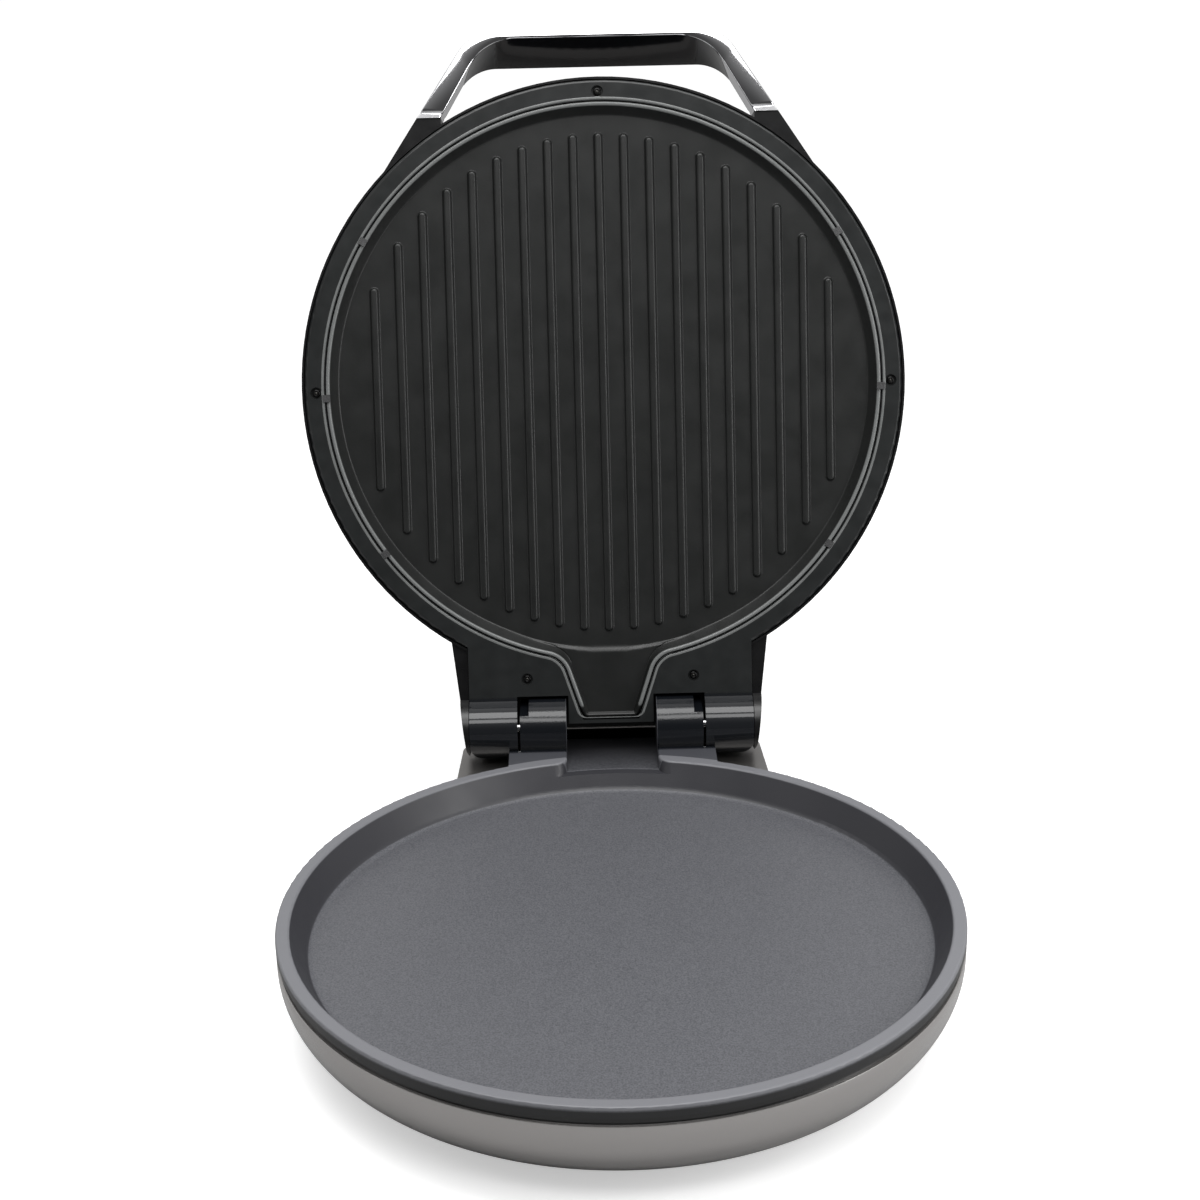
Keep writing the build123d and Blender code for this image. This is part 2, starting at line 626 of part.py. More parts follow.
with BuildPart() as terminal_block:
    with BuildSketch(BASE.offset(BLOCK_Z)):
        with Locations((0, BLOCK_Y)):
            RectangleRounded(BLOCK_SIZE[0], BLOCK_SIZE[1], 1.5)
    extrude(amount=BLOCK_SIZE[2])
    with BuildSketch(rear(BASE, BLOCK_Y - BLOCK_SIZE[1] / 2)):
        with Locations((0, BLOCK_Z + 5.0)):
            with GridLocations(11.0, 0, 3, 1):
                Circle(2.0)
    extrude(amount=BLOCK_SIZE[1], mode=Mode.SUBTRACT)
    with BuildSketch(BASE.offset(BLOCK_Z + BLOCK_SIZE[2])):
        with Locations((0, BLOCK_Y)):
            with GridLocations(11.0, 0, 3, 1):
                Circle(2.4)
    extrude(amount=-5.0, mode=Mode.SUBTRACT)
terminal_block.part.label = "terminal_block"
export_step(terminal_block.part, "parts/terminal_block.step")

WIRE_R = 1.2

with BuildPart() as lower_wires:
    for hand in (-1, 1):
        leg_x = hand * ELEMENT_R * sin(radians(ELEMENT_GAP_ANGLE))
        with BuildLine() as route:
            FilletPolyline(
                BASE.from_local_coords((leg_x, ELEMENT_LEG_Y + 12.2, LOWER_TUBE_Z)),
                BASE.from_local_coords((leg_x, BLOCK_Y + 16.0, LOWER_TUBE_Z)),
                BASE.from_local_coords((hand * 11.0, BLOCK_Y + 16.0, BLOCK_Z + 5.0)),
                BASE.from_local_coords((hand * 11.0, BLOCK_Y + BLOCK_SIZE[1] / 2 + 0.1, BLOCK_Z + 5.0)),
                radius=4.0,
            )
        with BuildSketch(Plane(route.line @ 0, z_dir=route.line % 0)):
            Circle(WIRE_R)
        sweep(path=route.line)
lower_wires.part.label = "lower_wires"
export_step(lower_wires.part, "parts/lower_wires.step")

# ------------------------------------------------------------------ lid: bezel with hinge knuckles
TAB_ROOT_Y = 120.0
NOTCH_Y = 174.0
STRIP_HALF_X = 24.0
STRIP_END_Y = 190.0
KNUCKLE_CORNER_R = 9.0
BEZEL_SCREWS = [(0, -160.0), (-160.0, 1.0), (160.0, 1.0), (-47.0, 164.0), (47.0, 164.0)]
BEZEL_SCREW_R = 1.5
COLLAR_T = 1.6
COLLAR_H = 7.0


def plate_plan(height, radius, wall, flare):
    """Plan of the upper plate with its tongue, the tongue's half width grown by wall."""
    slope = (TONGUE_HALF[0] - TONGUE_HALF[1]) / (TONGUE_Y[1] - TONGUE_Y[0])
    root = TONGUE_HALF[0] + slope * (TONGUE_Y[0] - TAB_ROOT_Y) + wall
    tip = TONGUE_HALF[1] + wall
    with BuildSketch(LID.offset(height)) as plan:
        Circle(radius)
        with BuildLine():
            Polyline(
                (-root, TAB_ROOT_Y),
                (-tip, TONGUE_Y[1]),
                (tip, TONGUE_Y[1]),
                (root, TAB_ROOT_Y),
                close=True,
            )
        make_face()
        fillet(plan.vertices().group_by(Axis.Y)[-2], flare)
    return plan.sketch


with BuildPart() as lid_bezel:
    with BuildSketch(LID):
        Circle(BEZEL_R)
        with Locations((0, (TAB_ROOT_Y + NOTCH_Y) / 2)):
            Rectangle(2 * LID_KNUCKLE[1], NOTCH_Y - TAB_ROOT_Y)
        with Locations((0, (TAB_ROOT_Y + STRIP_END_Y) / 2)):
            Rectangle(2 * STRIP_HALF_X, STRIP_END_Y - TAB_ROOT_Y)
        for hand in (-1, 1):
            with Locations((hand * sum(LID_KNUCKLE) / 2, (NOTCH_Y + HINGE_Y) / 2)):
                Rectangle(LID_KNUCKLE[1] - LID_KNUCKLE[0], HINGE_Y - NOTCH_Y)
    extrude(amount=BEZEL_T)
    for hand in (-1, 1):
        with BuildSketch(side(LID, hand * LID_KNUCKLE[0])):
            with Locations((HINGE_Y, HINGE_DROP)):
                Circle(KNUCKLE_R)
        extrude(amount=hand * (LID_KNUCKLE[1] - LID_KNUCKLE[0]))
    with BuildSketch(LID.offset(BEZEL_T)):
        Circle(BEZEL_INNER_R + COLLAR_T)
    extrude(amount=COLLAR_H)
    # rounded outer corners of the knuckles
    corner = (LID_KNUCKLE[1] - KNUCKLE_CORNER_R, HINGE_Y + KNUCKLE_R - KNUCKLE_CORNER_R)
    with BuildSketch(LID.offset(-KNUCKLE_R)):
        for hand in (-1, 1):
            with Locations((hand * (corner[0] + KNUCKLE_CORNER_R), corner[1] + KNUCKLE_CORNER_R)):
                Rectangle(2 * KNUCKLE_CORNER_R, 2 * KNUCKLE_CORNER_R)
            with Locations((hand * corner[0], corner[1])):
                Circle(KNUCKLE_CORNER_R, mode=Mode.SUBTRACT)
    extrude(amount=3 * KNUCKLE_R, mode=Mode.SUBTRACT)
    # opening for the plate and its tongue
    opening = plate_plan(-1.0, BEZEL_INNER_R, TONGUE_WALL + 0.7, TONGUE_FLARE_R)
    extrude(opening, amount=2 * KNUCKLE_R, mode=Mode.SUBTRACT)
    with BuildSketch(side(LID, -LID_KNUCKLE[1])):
        with Locations((HINGE_Y, HINGE_DROP)):
            Circle(PIN_R + RUNNING)
    extrude(amount=2 * LID_KNUCKLE[1], mode=Mode.SUBTRACT)
    # screw holes with sunk heads
    with BuildSketch(LID):
        with Locations(*BEZEL_SCREWS):
            Circle(3.2)
    extrude(amount=1.9, mode=Mode.SUBTRACT)
    with BuildSketch(LID):
        with Locations(*BEZEL_SCREWS):
            Circle(BEZEL_SCREW_R + 0.15)
    extrude(amount=BEZEL_T, mode=Mode.SUBTRACT)
    fillet(of_radius(lid_bezel.edges(), BEZEL_R).group_by(spin(LID))[0], 1.6)
lid_bezel.part.label = "lid_bezel"
export_step(lid_bezel.part, "parts/lid_bezel.step")

with BuildPart() as bezel_screws:
    screw(LID.offset(1.8), BEZEL_SCREWS, 2.6, 1.3, BEZEL_SCREW_R, 9.0)
bezel_screws.part.label = "bezel_screws"
export_step(bezel_screws.part, "parts/bezel_screws.step")

# ------------------------------------------------------------------ lid: ribbed upper plate
TRAY_DRAFT = 10.0
RIB_DRAFT = 25.0

with BuildPart() as upper_plate:
    extrude(plate_plan(PLATE_FACE, PLATE_R, TONGUE_WALL, TONGUE_FLARE_R), amount=PLATE_BACK - PLATE_FACE)
    fillet(of_radius(upper_plate.edges(), PLATE_R).group_by(spin(LID))[-1], 2.5)
    with BuildSketch(section(LID)):
        with BuildLine():
            Polyline(
                (0, COOK_H),
                (COOK_R, COOK_H),
                (PLATE_R - RIM_LAND, PLATE_FACE),
                (PLATE_R - RIM_LAND, -1.0),
                (0, -1.0),
                close=True,
            )
        make_face()
    revolve(axis=spin(LID), mode=Mode.SUBTRACT)
    trough = plate_plan(COOK_H - TONGUE_RISE, COOK_R - 2.0, 0.0, TONGUE_FLARE_R + 2.0)
    extrude(trough, amount=TONGUE_RISE - COOK_H, taper=-TRAY_DRAFT, mode=Mode.SUBTRACT)
    with BuildSketch(LID.offset(-1.0)):
        with Locations((0, TONGUE_Y[1])):
            Rectangle(2 * TONGUE_HALF[1], 4.0)
    extrude(amount=COOK_H - TONGUE_RISE + 1.0, mode=Mode.SUBTRACT)
    # ribs, their ends on a circle
    with BuildSketch(LID.offset(COOK_H)):
        for index in range(RIB_COUNT):
            rib_x = RIB_PITCH * (index - (RIB_COUNT - 1) / 2)
            with Locations((rib_x, 0)):
                SlotOverall(2 * sqrt(RIB_CIRCLE_R**2 - rib_x**2), RIB_W, rotation=90)
    extrude(amount=-RIB_H, taper=RIB_DRAFT)
    # posts for the reflector and the element straps
    with BuildSketch(LID.offset(PLATE_BACK)):
        with PolarLocations(SCREW_RING_R, 4, start_angle=45):
            Circle(BOSS_R)
    extrude(amount=14.0)
    with BuildSketch(LID.offset(PLATE_BACK)):
        with PolarLocations(STRAP_R, 3, start_angle=STRAP_ANGLES[0]):
            Circle(3.5)
    extrude(amount=2 * TUBE_R)
    with BuildSketch(LID.offset(PLATE_BACK + 14.0)):
        with PolarLocations(SCREW_RING_R, 4, start_angle=45):
            Circle(1.5 + RUNNING)
    extrude(amount=-12.0, mode=Mode.SUBTRACT)
    with BuildSketch(LID.offset(PLATE_BACK + 2 * TUBE_R)):
        with PolarLocations(STRAP_R, 3, start_angle=STRAP_ANGLES[0]):
            Circle(1.5 + RUNNING)
    extrude(amount=-1.6 * TUBE_R, mode=Mode.SUBTRACT)
upper_plate.part.label = "upper_plate"
export_step(upper_plate.part, "parts/upper_plate.step")

CLIP_ANGLES = (-31.8, 1.5, 36.3, 143.7, 178.5, 211.8)
CLIP_W = 4.0
CLIP_T = 0.55
CLIP_GAP = 0.05  # clip clear of the bezel's face
CLIP_LEG = 8.0  # leg that reaches in behind the plate

with BuildPart() as plate_clips:
    for angle in CLIP_ANGLES:
        outward = LID.x_dir * cos(radians(angle)) + LID.y_dir * sin(radians(angle))
        with BuildSketch(Plane(LID.origin, x_dir=outward, z_dir=outward.cross(LID.z_dir))):
            with BuildLine():
                Polyline(
                    (PLATE_R - 2.2, -CLIP_GAP),
                    (BEZEL_INNER_R - 0.7, -CLIP_GAP),
                    (BEZEL_INNER_R - 0.7, CLIP_LEG),
                    (BEZEL_INNER_R - 0.1, CLIP_LEG),
                    (BEZEL_INNER_R - 0.1, -CLIP_GAP),
                    (BEZEL_INNER_R + 1.4, -CLIP_GAP),
                    (BEZEL_INNER_R + 1.4, -CLIP_GAP - CLIP_T),
                    (PLATE_R - 2.2, -CLIP_GAP - CLIP_T),
                    close=True,
                )
            make_face()
        extrude(amount=CLIP_W / 2, both=True)
plate_clips.part.label = "plate_clips"
export_step(plate_clips.part, "parts/plate_clips.step")

# ------------------------------------------------------------------ lid: black frame with tail and handle roots
RING_GAP = 0.4
RING_T = 2.4
FLANGE_R = 156.0
TAIL_FRONT_Y = 158.0
TAIL_R = 22.0  # outside of the tail about the hinge axis, where it meets the stop
TAIL_BORE_R = KNUCKLE_R + 0.4
TAIL_END_ANGLE = 80.0
TAIL_WALL = 2.6
CHEEK_FACE = 2.0
HANDLE_ROOT_Y = -147.5
HANDLE_OUTER = (99.5, 69.7)  # |x| at the root and at the sharp corner
HANDLE_INNER = (86.2, 61.1)
HANDLE_TOP = (-192.0, -189.5)  # outer and inner y of the bar's front edge
WING_X = 118.5  # where the handle roots leave the ring
WING_Y = -119.0
WING_INNER = (101.5, -133.2)
SCREW_H = 7.5
HANDLE_SCREW_X = 93.0
DOME_SCREW_R = 160.5
TAIL_START_Y = 152.0
TAIL_TAPER = (TAIL_HALF[0] - TAIL_HALF[1]) / (204.0 - TAIL_START_Y)

tail_end = (
    HINGE_Y + TAIL_R * cos(radians(TAIL_END_ANGLE)),
    HINGE_DROP + TAIL_R * sin(radians(TAIL_END_ANGLE)),
)
tail_front_h = tail_end[1] + (tail_end[0] - TAIL_FRONT_Y) / tan(radians(TAIL_END_ANGLE))

with BuildPart() as lid_frame:
    # tail over the hinge, its sides drawn in towards the back
    with BuildSketch(side(LID, -TAIL_HALF[0] - 2.0)):
        with BuildLine():
            Polyline(
                (TAIL_FRONT_Y, CHEEK_FACE),
                (HINGE_Y, CHEEK_FACE),
                (HINGE_Y, HINGE_DROP),
                tail_end,
                (TAIL_FRONT_Y, tail_front_h),
                close=True,
            )
        make_face()
        with Locations((HINGE_Y, HINGE_DROP)):
            Circle(TAIL_BORE_R)
        with Locations((TAIL_FRONT_Y - 8.0, (CHEEK_FACE + RING_TOP - FIT) / 2)):
            Rectangle(20.0, RING_TOP - FIT - CHEEK_FACE)
    extrude(amount=2 * TAIL_HALF[0] + 4.0)
    with BuildSketch(LID.offset(-KNUCKLE_R)) as tail_plan:
        with BuildLine():
            Polyline(
                (TAIL_HALF[0] + 12 * TAIL_TAPER, TAIL_START_Y - 12.0),
                (TAIL_HALF[1] - 6 * TAIL_TAPER, HINGE_Y + TAIL_BORE_R),
                (-TAIL_HALF[1] + 6 * TAIL_TAPER, HINGE_Y + TAIL_BORE_R),
                (-TAIL_HALF[0] - 12 * TAIL_TAPER, TAIL_START_Y - 12.0),
                close=True,
            )
        make_face()
        fillet(tail_plan.vertices().group_by(Axis.Y)[-1], KNUCKLE_CORNER_R)
    extrude(amount=6 * KNUCKLE_R, mode=Mode.INTERSECT)
    # room under the tail for the bezel's tab and the hinge knuckles
    with BuildSketch(side(LID, -LID_KNUCKLE[1] - FIT)):
        with BuildLine():
            Polyline(
                (BODY_R + 0.5, 0),
                (BODY_R + 0.5, tail_front_h - 2.0 * TAIL_WALL),
                (tail_end[0], tail_end[1] - TAIL_WALL),
                (HINGE_Y, HINGE_DROP),
                (HINGE_Y, 0),
                close=True,
            )
        make_face()
        with Locations((HINGE_Y, HINGE_DROP)):
            Circle(TAIL_BORE_R)
        with Locations((HINGE_Y - 30.0, 0)):
            Rectangle(60.0, 2 * (BEZEL_T + FIT))
    extrude(amount=2 * (LID_KNUCKLE[1] + FIT), mode=Mode.SUBTRACT)
    with BuildSketch(LID.offset(-1.0)):
        Circle(BODY_R - RING_T / 2)
    extrude(amount=RING_TOP - 1.0, mode=Mode.SUBTRACT)
    revolve(dome_outline(FIT), axis=spin(LID), mode=Mode.SUBTRACT)
    # handle roots
    with BuildSketch(LID.offset(0.5)):
        for hand in (-1, 1):
            with BuildLine():
                Polyline(
                    (hand * WING_X, WING_Y),
                    (hand * HANDLE_OUTER[0], HANDLE_ROOT_Y),
                    (hand * HANDLE_INNER[0], HANDLE_ROOT_Y),
                    (hand * HANDLE_INNER[0], -sqrt(BODY_R**2 - HANDLE_INNER[0] ** 2) + 0.2),
                    (hand * WING_INNER[0], WING_INNER[1]),
                    (hand * (WING_X - 1.0), WING_Y),
                    close=True,
                )
            make_face()
    extrude(amount=HANDLE_DEPTH - 0.5)
    # outer ring, with an inner flange that the dome stands on
    with BuildSketch(section(LID)):
        with BuildLine():
            Polyline(
                (BEZEL_R + RING_GAP, 0.5),
                (BODY_R, 0.5),
                (BODY_R, RING_TOP),
                (BODY_R - 1.7, RING_TOP),
                (BODY_R - 1.7, RING_TOP - FIT),
                (FLANGE_R, RING_TOP - FIT),
                (FLANGE_R, RING_TOP - 2.0),
                (BODY_R - RING_T, RING_TOP - 2.0),
                (BODY_R - RING_T, BEZEL_T + FIT),
                (BEZEL_R + RING_GAP, BEZEL_T + FIT),
                close=True,
            )
        make_face()
    revolve(axis=spin(LID))
    # openings in the ring for the bezel's tab, the tongue and the wires
    with BuildSketch(LID.offset(-1.0)):
        with Locations((0, BODY_R)):
            Rectangle(2 * (LID_KNUCKLE[1] + FIT), 50.0)
    extrude(amount=BEZEL_T + FIT + 1.0, mode=Mode.SUBTRACT)
    with BuildSketch(LID):
        with Locations((0, HINGE_Y - 30.0)):
            Rectangle(62.0, 80.0)
    extrude(amount=18.0, mode=Mode.SUBTRACT)
    # bosses for the bezel's screws, and holes for the dome's and the handle's
    with BuildSketch(LID.offset(BEZEL_T + 0.1)):
        with Locations(*BEZEL_SCREWS[:3]):
            Circle(3.0)
    extrude(amount=RING_TOP - 1.0 - BEZEL_T)
    with BuildSketch(LID.offset(BEZEL_T)):
        with Locations(*BEZEL_SCREWS):
            Circle(BEZEL_SCREW_R + RUNNING)
    extrude(amount=8.5, mode=Mode.SUBTRACT)
    with BuildSketch(LID.offset(RING_TOP - 3.0)):
        with PolarLocations(DOME_SCREW_R, 4, start_angle=45):
            Circle(1.7)
    extrude(amount=4.0, mode=Mode.SUBTRACT)
    with BuildSketch(rear(LID, HANDLE_ROOT_Y)):
        with Locations((-HANDLE_SCREW_X, SCREW_H), (HANDLE_SCREW_X, SCREW_H)):
            Circle(1.5 + RUNNING)
    extrude(amount=20.0, mode=Mode.SUBTRACT)
lid_frame.part.label = "lid_frame"
export_step(lid_frame.part, "parts/lid_frame.step")

# ------------------------------------------------------------------ lid: silver dome
LAMP_X = 11.0
LAMP_Y = -84.0
LAMP_R = 4.0

with BuildPart() as dome_form:
    add(dome_outline())
    revolve(axis=spin(LID))

with BuildPart() as lid_dome:
    add(dome_outline())
    revolve(axis=spin(LID))
    with BuildSketch(section(LID)):
        with BuildLine():
            dome_r = BODY_R - 2.2 - DOME_T
            Polyline((0, 0), (dome_r, 0), (dome_r, RING_TOP))
            EllipticalCenterArc(
                (DOME_FLAT_R, RING_TOP),
                dome_r - DOME_FLAT_R,
                DOME_TOP - RING_TOP - DOME_T,
                start_angle=0,
                arc_size=90,
            )
            Polyline((DOME_FLAT_R, DOME_TOP - DOME_T), (0, DOME_TOP - DOME_T), (0, 0))
        make_face()
    revolve(axis=spin(LID), mode=Mode.SUBTRACT)
    with BuildSketch(LID.offset(RING_TOP + 0.1)):
        with PolarLocations(DOME_SCREW_R, 4, start_angle=45):
            Circle(3.2)
    extrude(amount=12.0)
    add(dome_form.part, mode=Mode.INTERSECT)  # the bosses end inside the dome's skin
    with BuildSketch(LID.offset(RING_TOP)):
        with PolarLocations(DOME_SCREW_R, 4, start_angle=45):
            Circle(1.5 + RUNNING)
    extrude(amount=9.0, mode=Mode.SUBTRACT)
    with BuildSketch(LID.offset(DOME_TOP - 5.0)):
        with Locations((-LAMP_X, LAMP_Y), (LAMP_X, LAMP_Y)):
            Circle(LAMP_R + 0.1)
    extrude(amount=6.0, mode=Mode.SUBTRACT)
lid_dome.part.label = "lid_dome"
export_step(lid_dome.part, "parts/lid_dome.step")

with BuildPart() as dome_screws:
    corners = [polar(DOME_SCREW_R, angle) for angle in (45, 135, 225, 315)]
    screw(LID.offset(RING_TOP - 2.1), corners, 2.6, 1.4, 1.5, 10.0)
dome_screws.part.label = "dome_screws"
export_step(dome_screws.part, "parts/dome_screws.step")

for name, hand in (("power_lamp_lens", -1), ("ready_lamp_lens", 1)):
    with BuildPart() as lens:
        with BuildSketch(LID.offset(DOME_TOP - 6.0)):
            with Locations((hand * LAMP_X, LAMP_Y)):
                Circle(LAMP_R)
        extrude(amount=6.1)
        with BuildSketch(LID.offset(DOME_TOP + 0.1)):
            with Locations((hand * LAMP_X, LAMP_Y)):
                Circle(LAMP_R + 1.2)
        extrude(amount=1.4)
        fillet(lens.edges().group_by(spin(LID))[-1], 1.0)
    lens.part.label = name
    export_step(lens.part, f"parts/{name}.step")

with BuildPart() as lamp_holders:
    with BuildSketch(LID.offset(DOME_TOP - 17.0)):
        with Locations((-LAMP_X, LAMP_Y), (LAMP_X, LAMP_Y)):
            Circle(LAMP_R + 1.0)
    extrude(amount=10.9)
lamp_holders.part.label = "lamp_holders"
export_step(lamp_holders.part, "parts/lamp_holders.step")

# ------------------------------------------------------------------ lid: handle
with BuildPart() as handle_bar:
    with BuildSketch(LID.offset(0.2)) as bar_plan:
        with BuildLine():
            outer_line = FilletPolyline(
                (HANDLE_OUTER[0], HANDLE_ROOT_Y - 0.1),
                (HANDLE_OUTER[1], HANDLE_TOP[0]),
                (-HANDLE_OUTER[1], HANDLE_TOP[0]),
                (-HANDLE_OUTER[0], HANDLE_ROOT_Y - 0.1),
                radius=20.0,
            )
            inner_line = FilletPolyline(
                (-HANDLE_INNER[0], HANDLE_ROOT_Y - 0.1),
                (-HANDLE_INNER[1], HANDLE_TOP[1]),
                (HANDLE_INNER[1], HANDLE_TOP[1]),
                (HANDLE_INNER[0], HANDLE_ROOT_Y - 0.1),
                radius=30.0,
            )
            Line(outer_line @ 1, inner_line @ 0)
            Line(inner_line @ 1, outer_line @ 0)
        make_face()
    extrude(amount=HANDLE_DEPTH - 0.2)
    fillet(handle_bar.faces().sort_by(spin(LID))[0].outer_wire().edges(), 0.8)
    with BuildSketch(rear(LID, HANDLE_ROOT_Y)):
        with Locations((-HANDLE_SCREW_X, SCREW_H), (HANDLE_SCREW_X, SCREW_H)):
            Circle(1.5 + RUNNING)
    extrude(amount=-10.0, mode=Mode.SUBTRACT)
handle_bar.part.label = "handle_bar"
export_step(handle_bar.part, "parts/handle_bar.step")

GRIP_BACK_Y = -176.2  # finger side of the grip at its full depth
GRIP_END_Y = -166.0


def finger_opening(height, top_y, corner_r, side_gap):
    """Plan of the opening under the grip at a height."""
    lean = (HANDLE_INNER[0] - HANDLE_INNER[1]) / (HANDLE_ROOT_Y - HANDLE_TOP[1])
    half_top = HANDLE_INNER[0] - lean * (HANDLE_ROOT_Y - top_y) + side_gap
    half_root = HANDLE_INNER[0] + side_gap
    with BuildSketch(LID.offset(height)) as plan:
        with BuildLine():
            arch = FilletPolyline(
                (half_root, HANDLE_ROOT_Y),
                (half_top, top_y),
                (-half_top, top_y),
                (-half_root, HANDLE_ROOT_Y),
                radius=corner_r,
            )
            Line(arch @ 1, arch @ 0)
        make_face()
    return plan.sketch


with BuildPart() as handle_grip:
    extrude(finger_opening(0.8, HANDLE_TOP[1], 30.0, -0.1), amount=HANDLE_DEPTH - 0.8)
    with BuildSketch(LID):
        with Locations((0, GRIP_END_Y + 50.0)):
            Rectangle(2 * BODY_R, 100.0)
    extrude(amount=HANDLE_DEPTH, mode=Mode.SUBTRACT)
    near_face = finger_opening(0.7, HANDLE_TOP[1] + 0.3, 30.0, 0.2)
    far_face = finger_opening(HANDLE_DEPTH + 0.1, GRIP_BACK_Y, 24.0, 0.2)
    loft([near_face, far_face], ruled=True, mode=Mode.SUBTRACT)
handle_grip.part.label = "handle_grip"
export_step(handle_grip.part, "parts/handle_grip.step")

with BuildPart() as handle_screws:
    head_plane = Plane(LID.from_local_coords((0, -134.4, 0)), x_dir=LID.x_dir, z_dir=-LID.y_dir)
    screw(head_plane, [(-HANDLE_SCREW_X, SCREW_H), (HANDLE_SCREW_X, SCREW_H)], 2.8, 1.6, 1.5, 21.0)
handle_screws.part.label = "handle_screws"
export_step(handle_screws.part, "parts/handle_screws.step")

# ------------------------------------------------------------------ lid: heating
UPPER_TUBE_H = PLATE_BACK + TUBE_R + 0.15
STRAP_H = PLATE_BACK + 2 * TUBE_R + 0.4
REFLECTOR_H = PLATE_BACK + 14.1
LID_FACING = Plane(LID.origin, x_dir=LID.x_dir, z_dir=-LID.z_dir)  # seen from behind the plate

with BuildPart() as upper_element:
    element(LID, UPPER_TUBE_H)
upper_element.part.label = "upper_element"
export_step(upper_element.part, "parts/upper_element.step")

with BuildPart() as upper_element_terminals:
    terminals(LID, UPPER_TUBE_H)
upper_element_terminals.part.label = "upper_element_terminals"
export_step(upper_element_terminals.part, "parts/upper_element_terminals.step")

with BuildPart() as upper_element_straps:
    straps(LID, STRAP_H, 1)
upper_element_straps.part.label = "upper_element_straps"
export_step(upper_element_straps.part, "parts/upper_element_straps.step")

with BuildPart() as upper_strap_screws:
    screw(LID_FACING.offset(-STRAP_H - 1.1), [(x, -y) for x, y in STRAP_PLACES], 2.8, 1.6, 1.5, 5.5)
upper_strap_screws.part.label = "upper_strap_screws"
export_step(upper_strap_screws.part, "parts/upper_strap_screws.step")

with BuildPart() as upper_reflector:
    reflector(LID, REFLECTOR_H, 1.7)
upper_reflector.part.label = "upper_reflector"
export_step(upper_reflector.part, "parts/upper_reflector.step")

with BuildPart() as reflector_screws:
    posts = [polar(SCREW_RING_R, angle) for angle in (45, 135, 225, 315)]
    screw(LID_FACING.offset(-REFLECTOR_H - REFLECTOR_T - 0.1), posts, 2.8, 1.6, 1.5, 9.0)
reflector_screws.part.label = "reflector_screws"
export_step(reflector_screws.part, "parts/reflector_screws.step")

with BuildPart() as upper_thermostat:
    thermostat(LID, PLATE_BACK + 0.1, 1)
upper_thermostat.part.label = "upper_thermostat"
export_step(upper_thermostat.part, "parts/upper_thermostat.step")

with BuildPart() as upper_thermal_fuse:
    fuse(LID, PLATE_BACK + 2.5)
upper_thermal_fuse.part.label = "upper_thermal_fuse"
export_step(upper_thermal_fuse.part, "parts/upper_thermal_fuse.step")
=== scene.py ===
"""Looks of the round contact grill: camera, light, materials and the detailed meshes around the CAD frame.

Metres, the CAD's own frame. Lid pieces are drawn in the lid's plane (X across, Y from the handle to the
hinge, H away from the food) and placed by LID, which turns them back about the hinge to the open pose.
"""
import json
from math import atan2, cos, pi, radians, sin, sqrt, tan

import bmesh
import bpy
from mathutils import Matrix, Vector


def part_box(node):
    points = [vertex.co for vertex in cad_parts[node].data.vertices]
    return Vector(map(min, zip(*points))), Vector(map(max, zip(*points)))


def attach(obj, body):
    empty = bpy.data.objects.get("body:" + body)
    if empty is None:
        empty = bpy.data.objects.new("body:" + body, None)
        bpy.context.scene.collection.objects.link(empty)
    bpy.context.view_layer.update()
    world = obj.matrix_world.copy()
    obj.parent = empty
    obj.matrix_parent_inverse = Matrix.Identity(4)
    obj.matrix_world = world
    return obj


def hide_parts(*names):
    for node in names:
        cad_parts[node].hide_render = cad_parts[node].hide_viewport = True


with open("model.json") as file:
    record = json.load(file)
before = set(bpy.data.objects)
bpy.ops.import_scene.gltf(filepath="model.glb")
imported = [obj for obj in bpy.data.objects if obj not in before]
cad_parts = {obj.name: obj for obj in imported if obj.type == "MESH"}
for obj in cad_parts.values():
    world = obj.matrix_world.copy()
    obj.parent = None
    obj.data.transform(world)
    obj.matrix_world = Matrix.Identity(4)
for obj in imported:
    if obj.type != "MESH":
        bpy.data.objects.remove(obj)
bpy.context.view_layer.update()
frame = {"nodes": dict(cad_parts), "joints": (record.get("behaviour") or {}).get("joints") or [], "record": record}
NODES = frame["nodes"]
MM = 0.001

# ------------------------------------------------------------------ places, from the frame
pan_low, pan_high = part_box("lower_pan")
BODY_R = (pan_high[0] - pan_low[0]) / 2
PAN_Y = pan_low[1] + BODY_R
RIM_Z = 60.0 * MM
joint = frame["joints"][0]
HINGE = Vector(joint["pos_m"])
OPEN_ANGLE = radians(joint["range_deg"][1])
LID_GAP = 1.0 * MM
HINGE_BACK = HINGE.y - PAN_Y
HINGE_DROP = HINGE.z - RIM_Z - LID_GAP
LID = (
    Matrix.Translation(HINGE)
    @ Matrix.Rotation(-OPEN_ANGLE, 4, "X")
    @ Matrix.Translation((0, -HINGE_BACK, -HINGE_DROP))
)
PAN = Matrix.Translation((0, PAN_Y, 0))


# ------------------------------------------------------------------ camera
def make_camera():
    data = bpy.data.cameras.new("camera")
    data.lens = 66.02
    data.sensor_width = 36.0
    data.shift_y = 0.0388
    data.clip_end = 50.0
    camera = bpy.data.objects.new("camera", data)
    place = Matrix.Translation((-0.01595, PAN_Y - 0.93918, 0.60355))
    yaw = Matrix.Rotation(radians(-0.526), 4, "Z")
    pitch = Matrix.Rotation(radians(90 - 23.322), 4, "X")
    roll = Matrix.Rotation(radians(-1.188), 4, "Z")
    camera.matrix_world = place @ yaw @ pitch @ roll
    bpy.context.scene.collection.objects.link(camera)
    bpy.context.scene.camera = camera


make_camera()


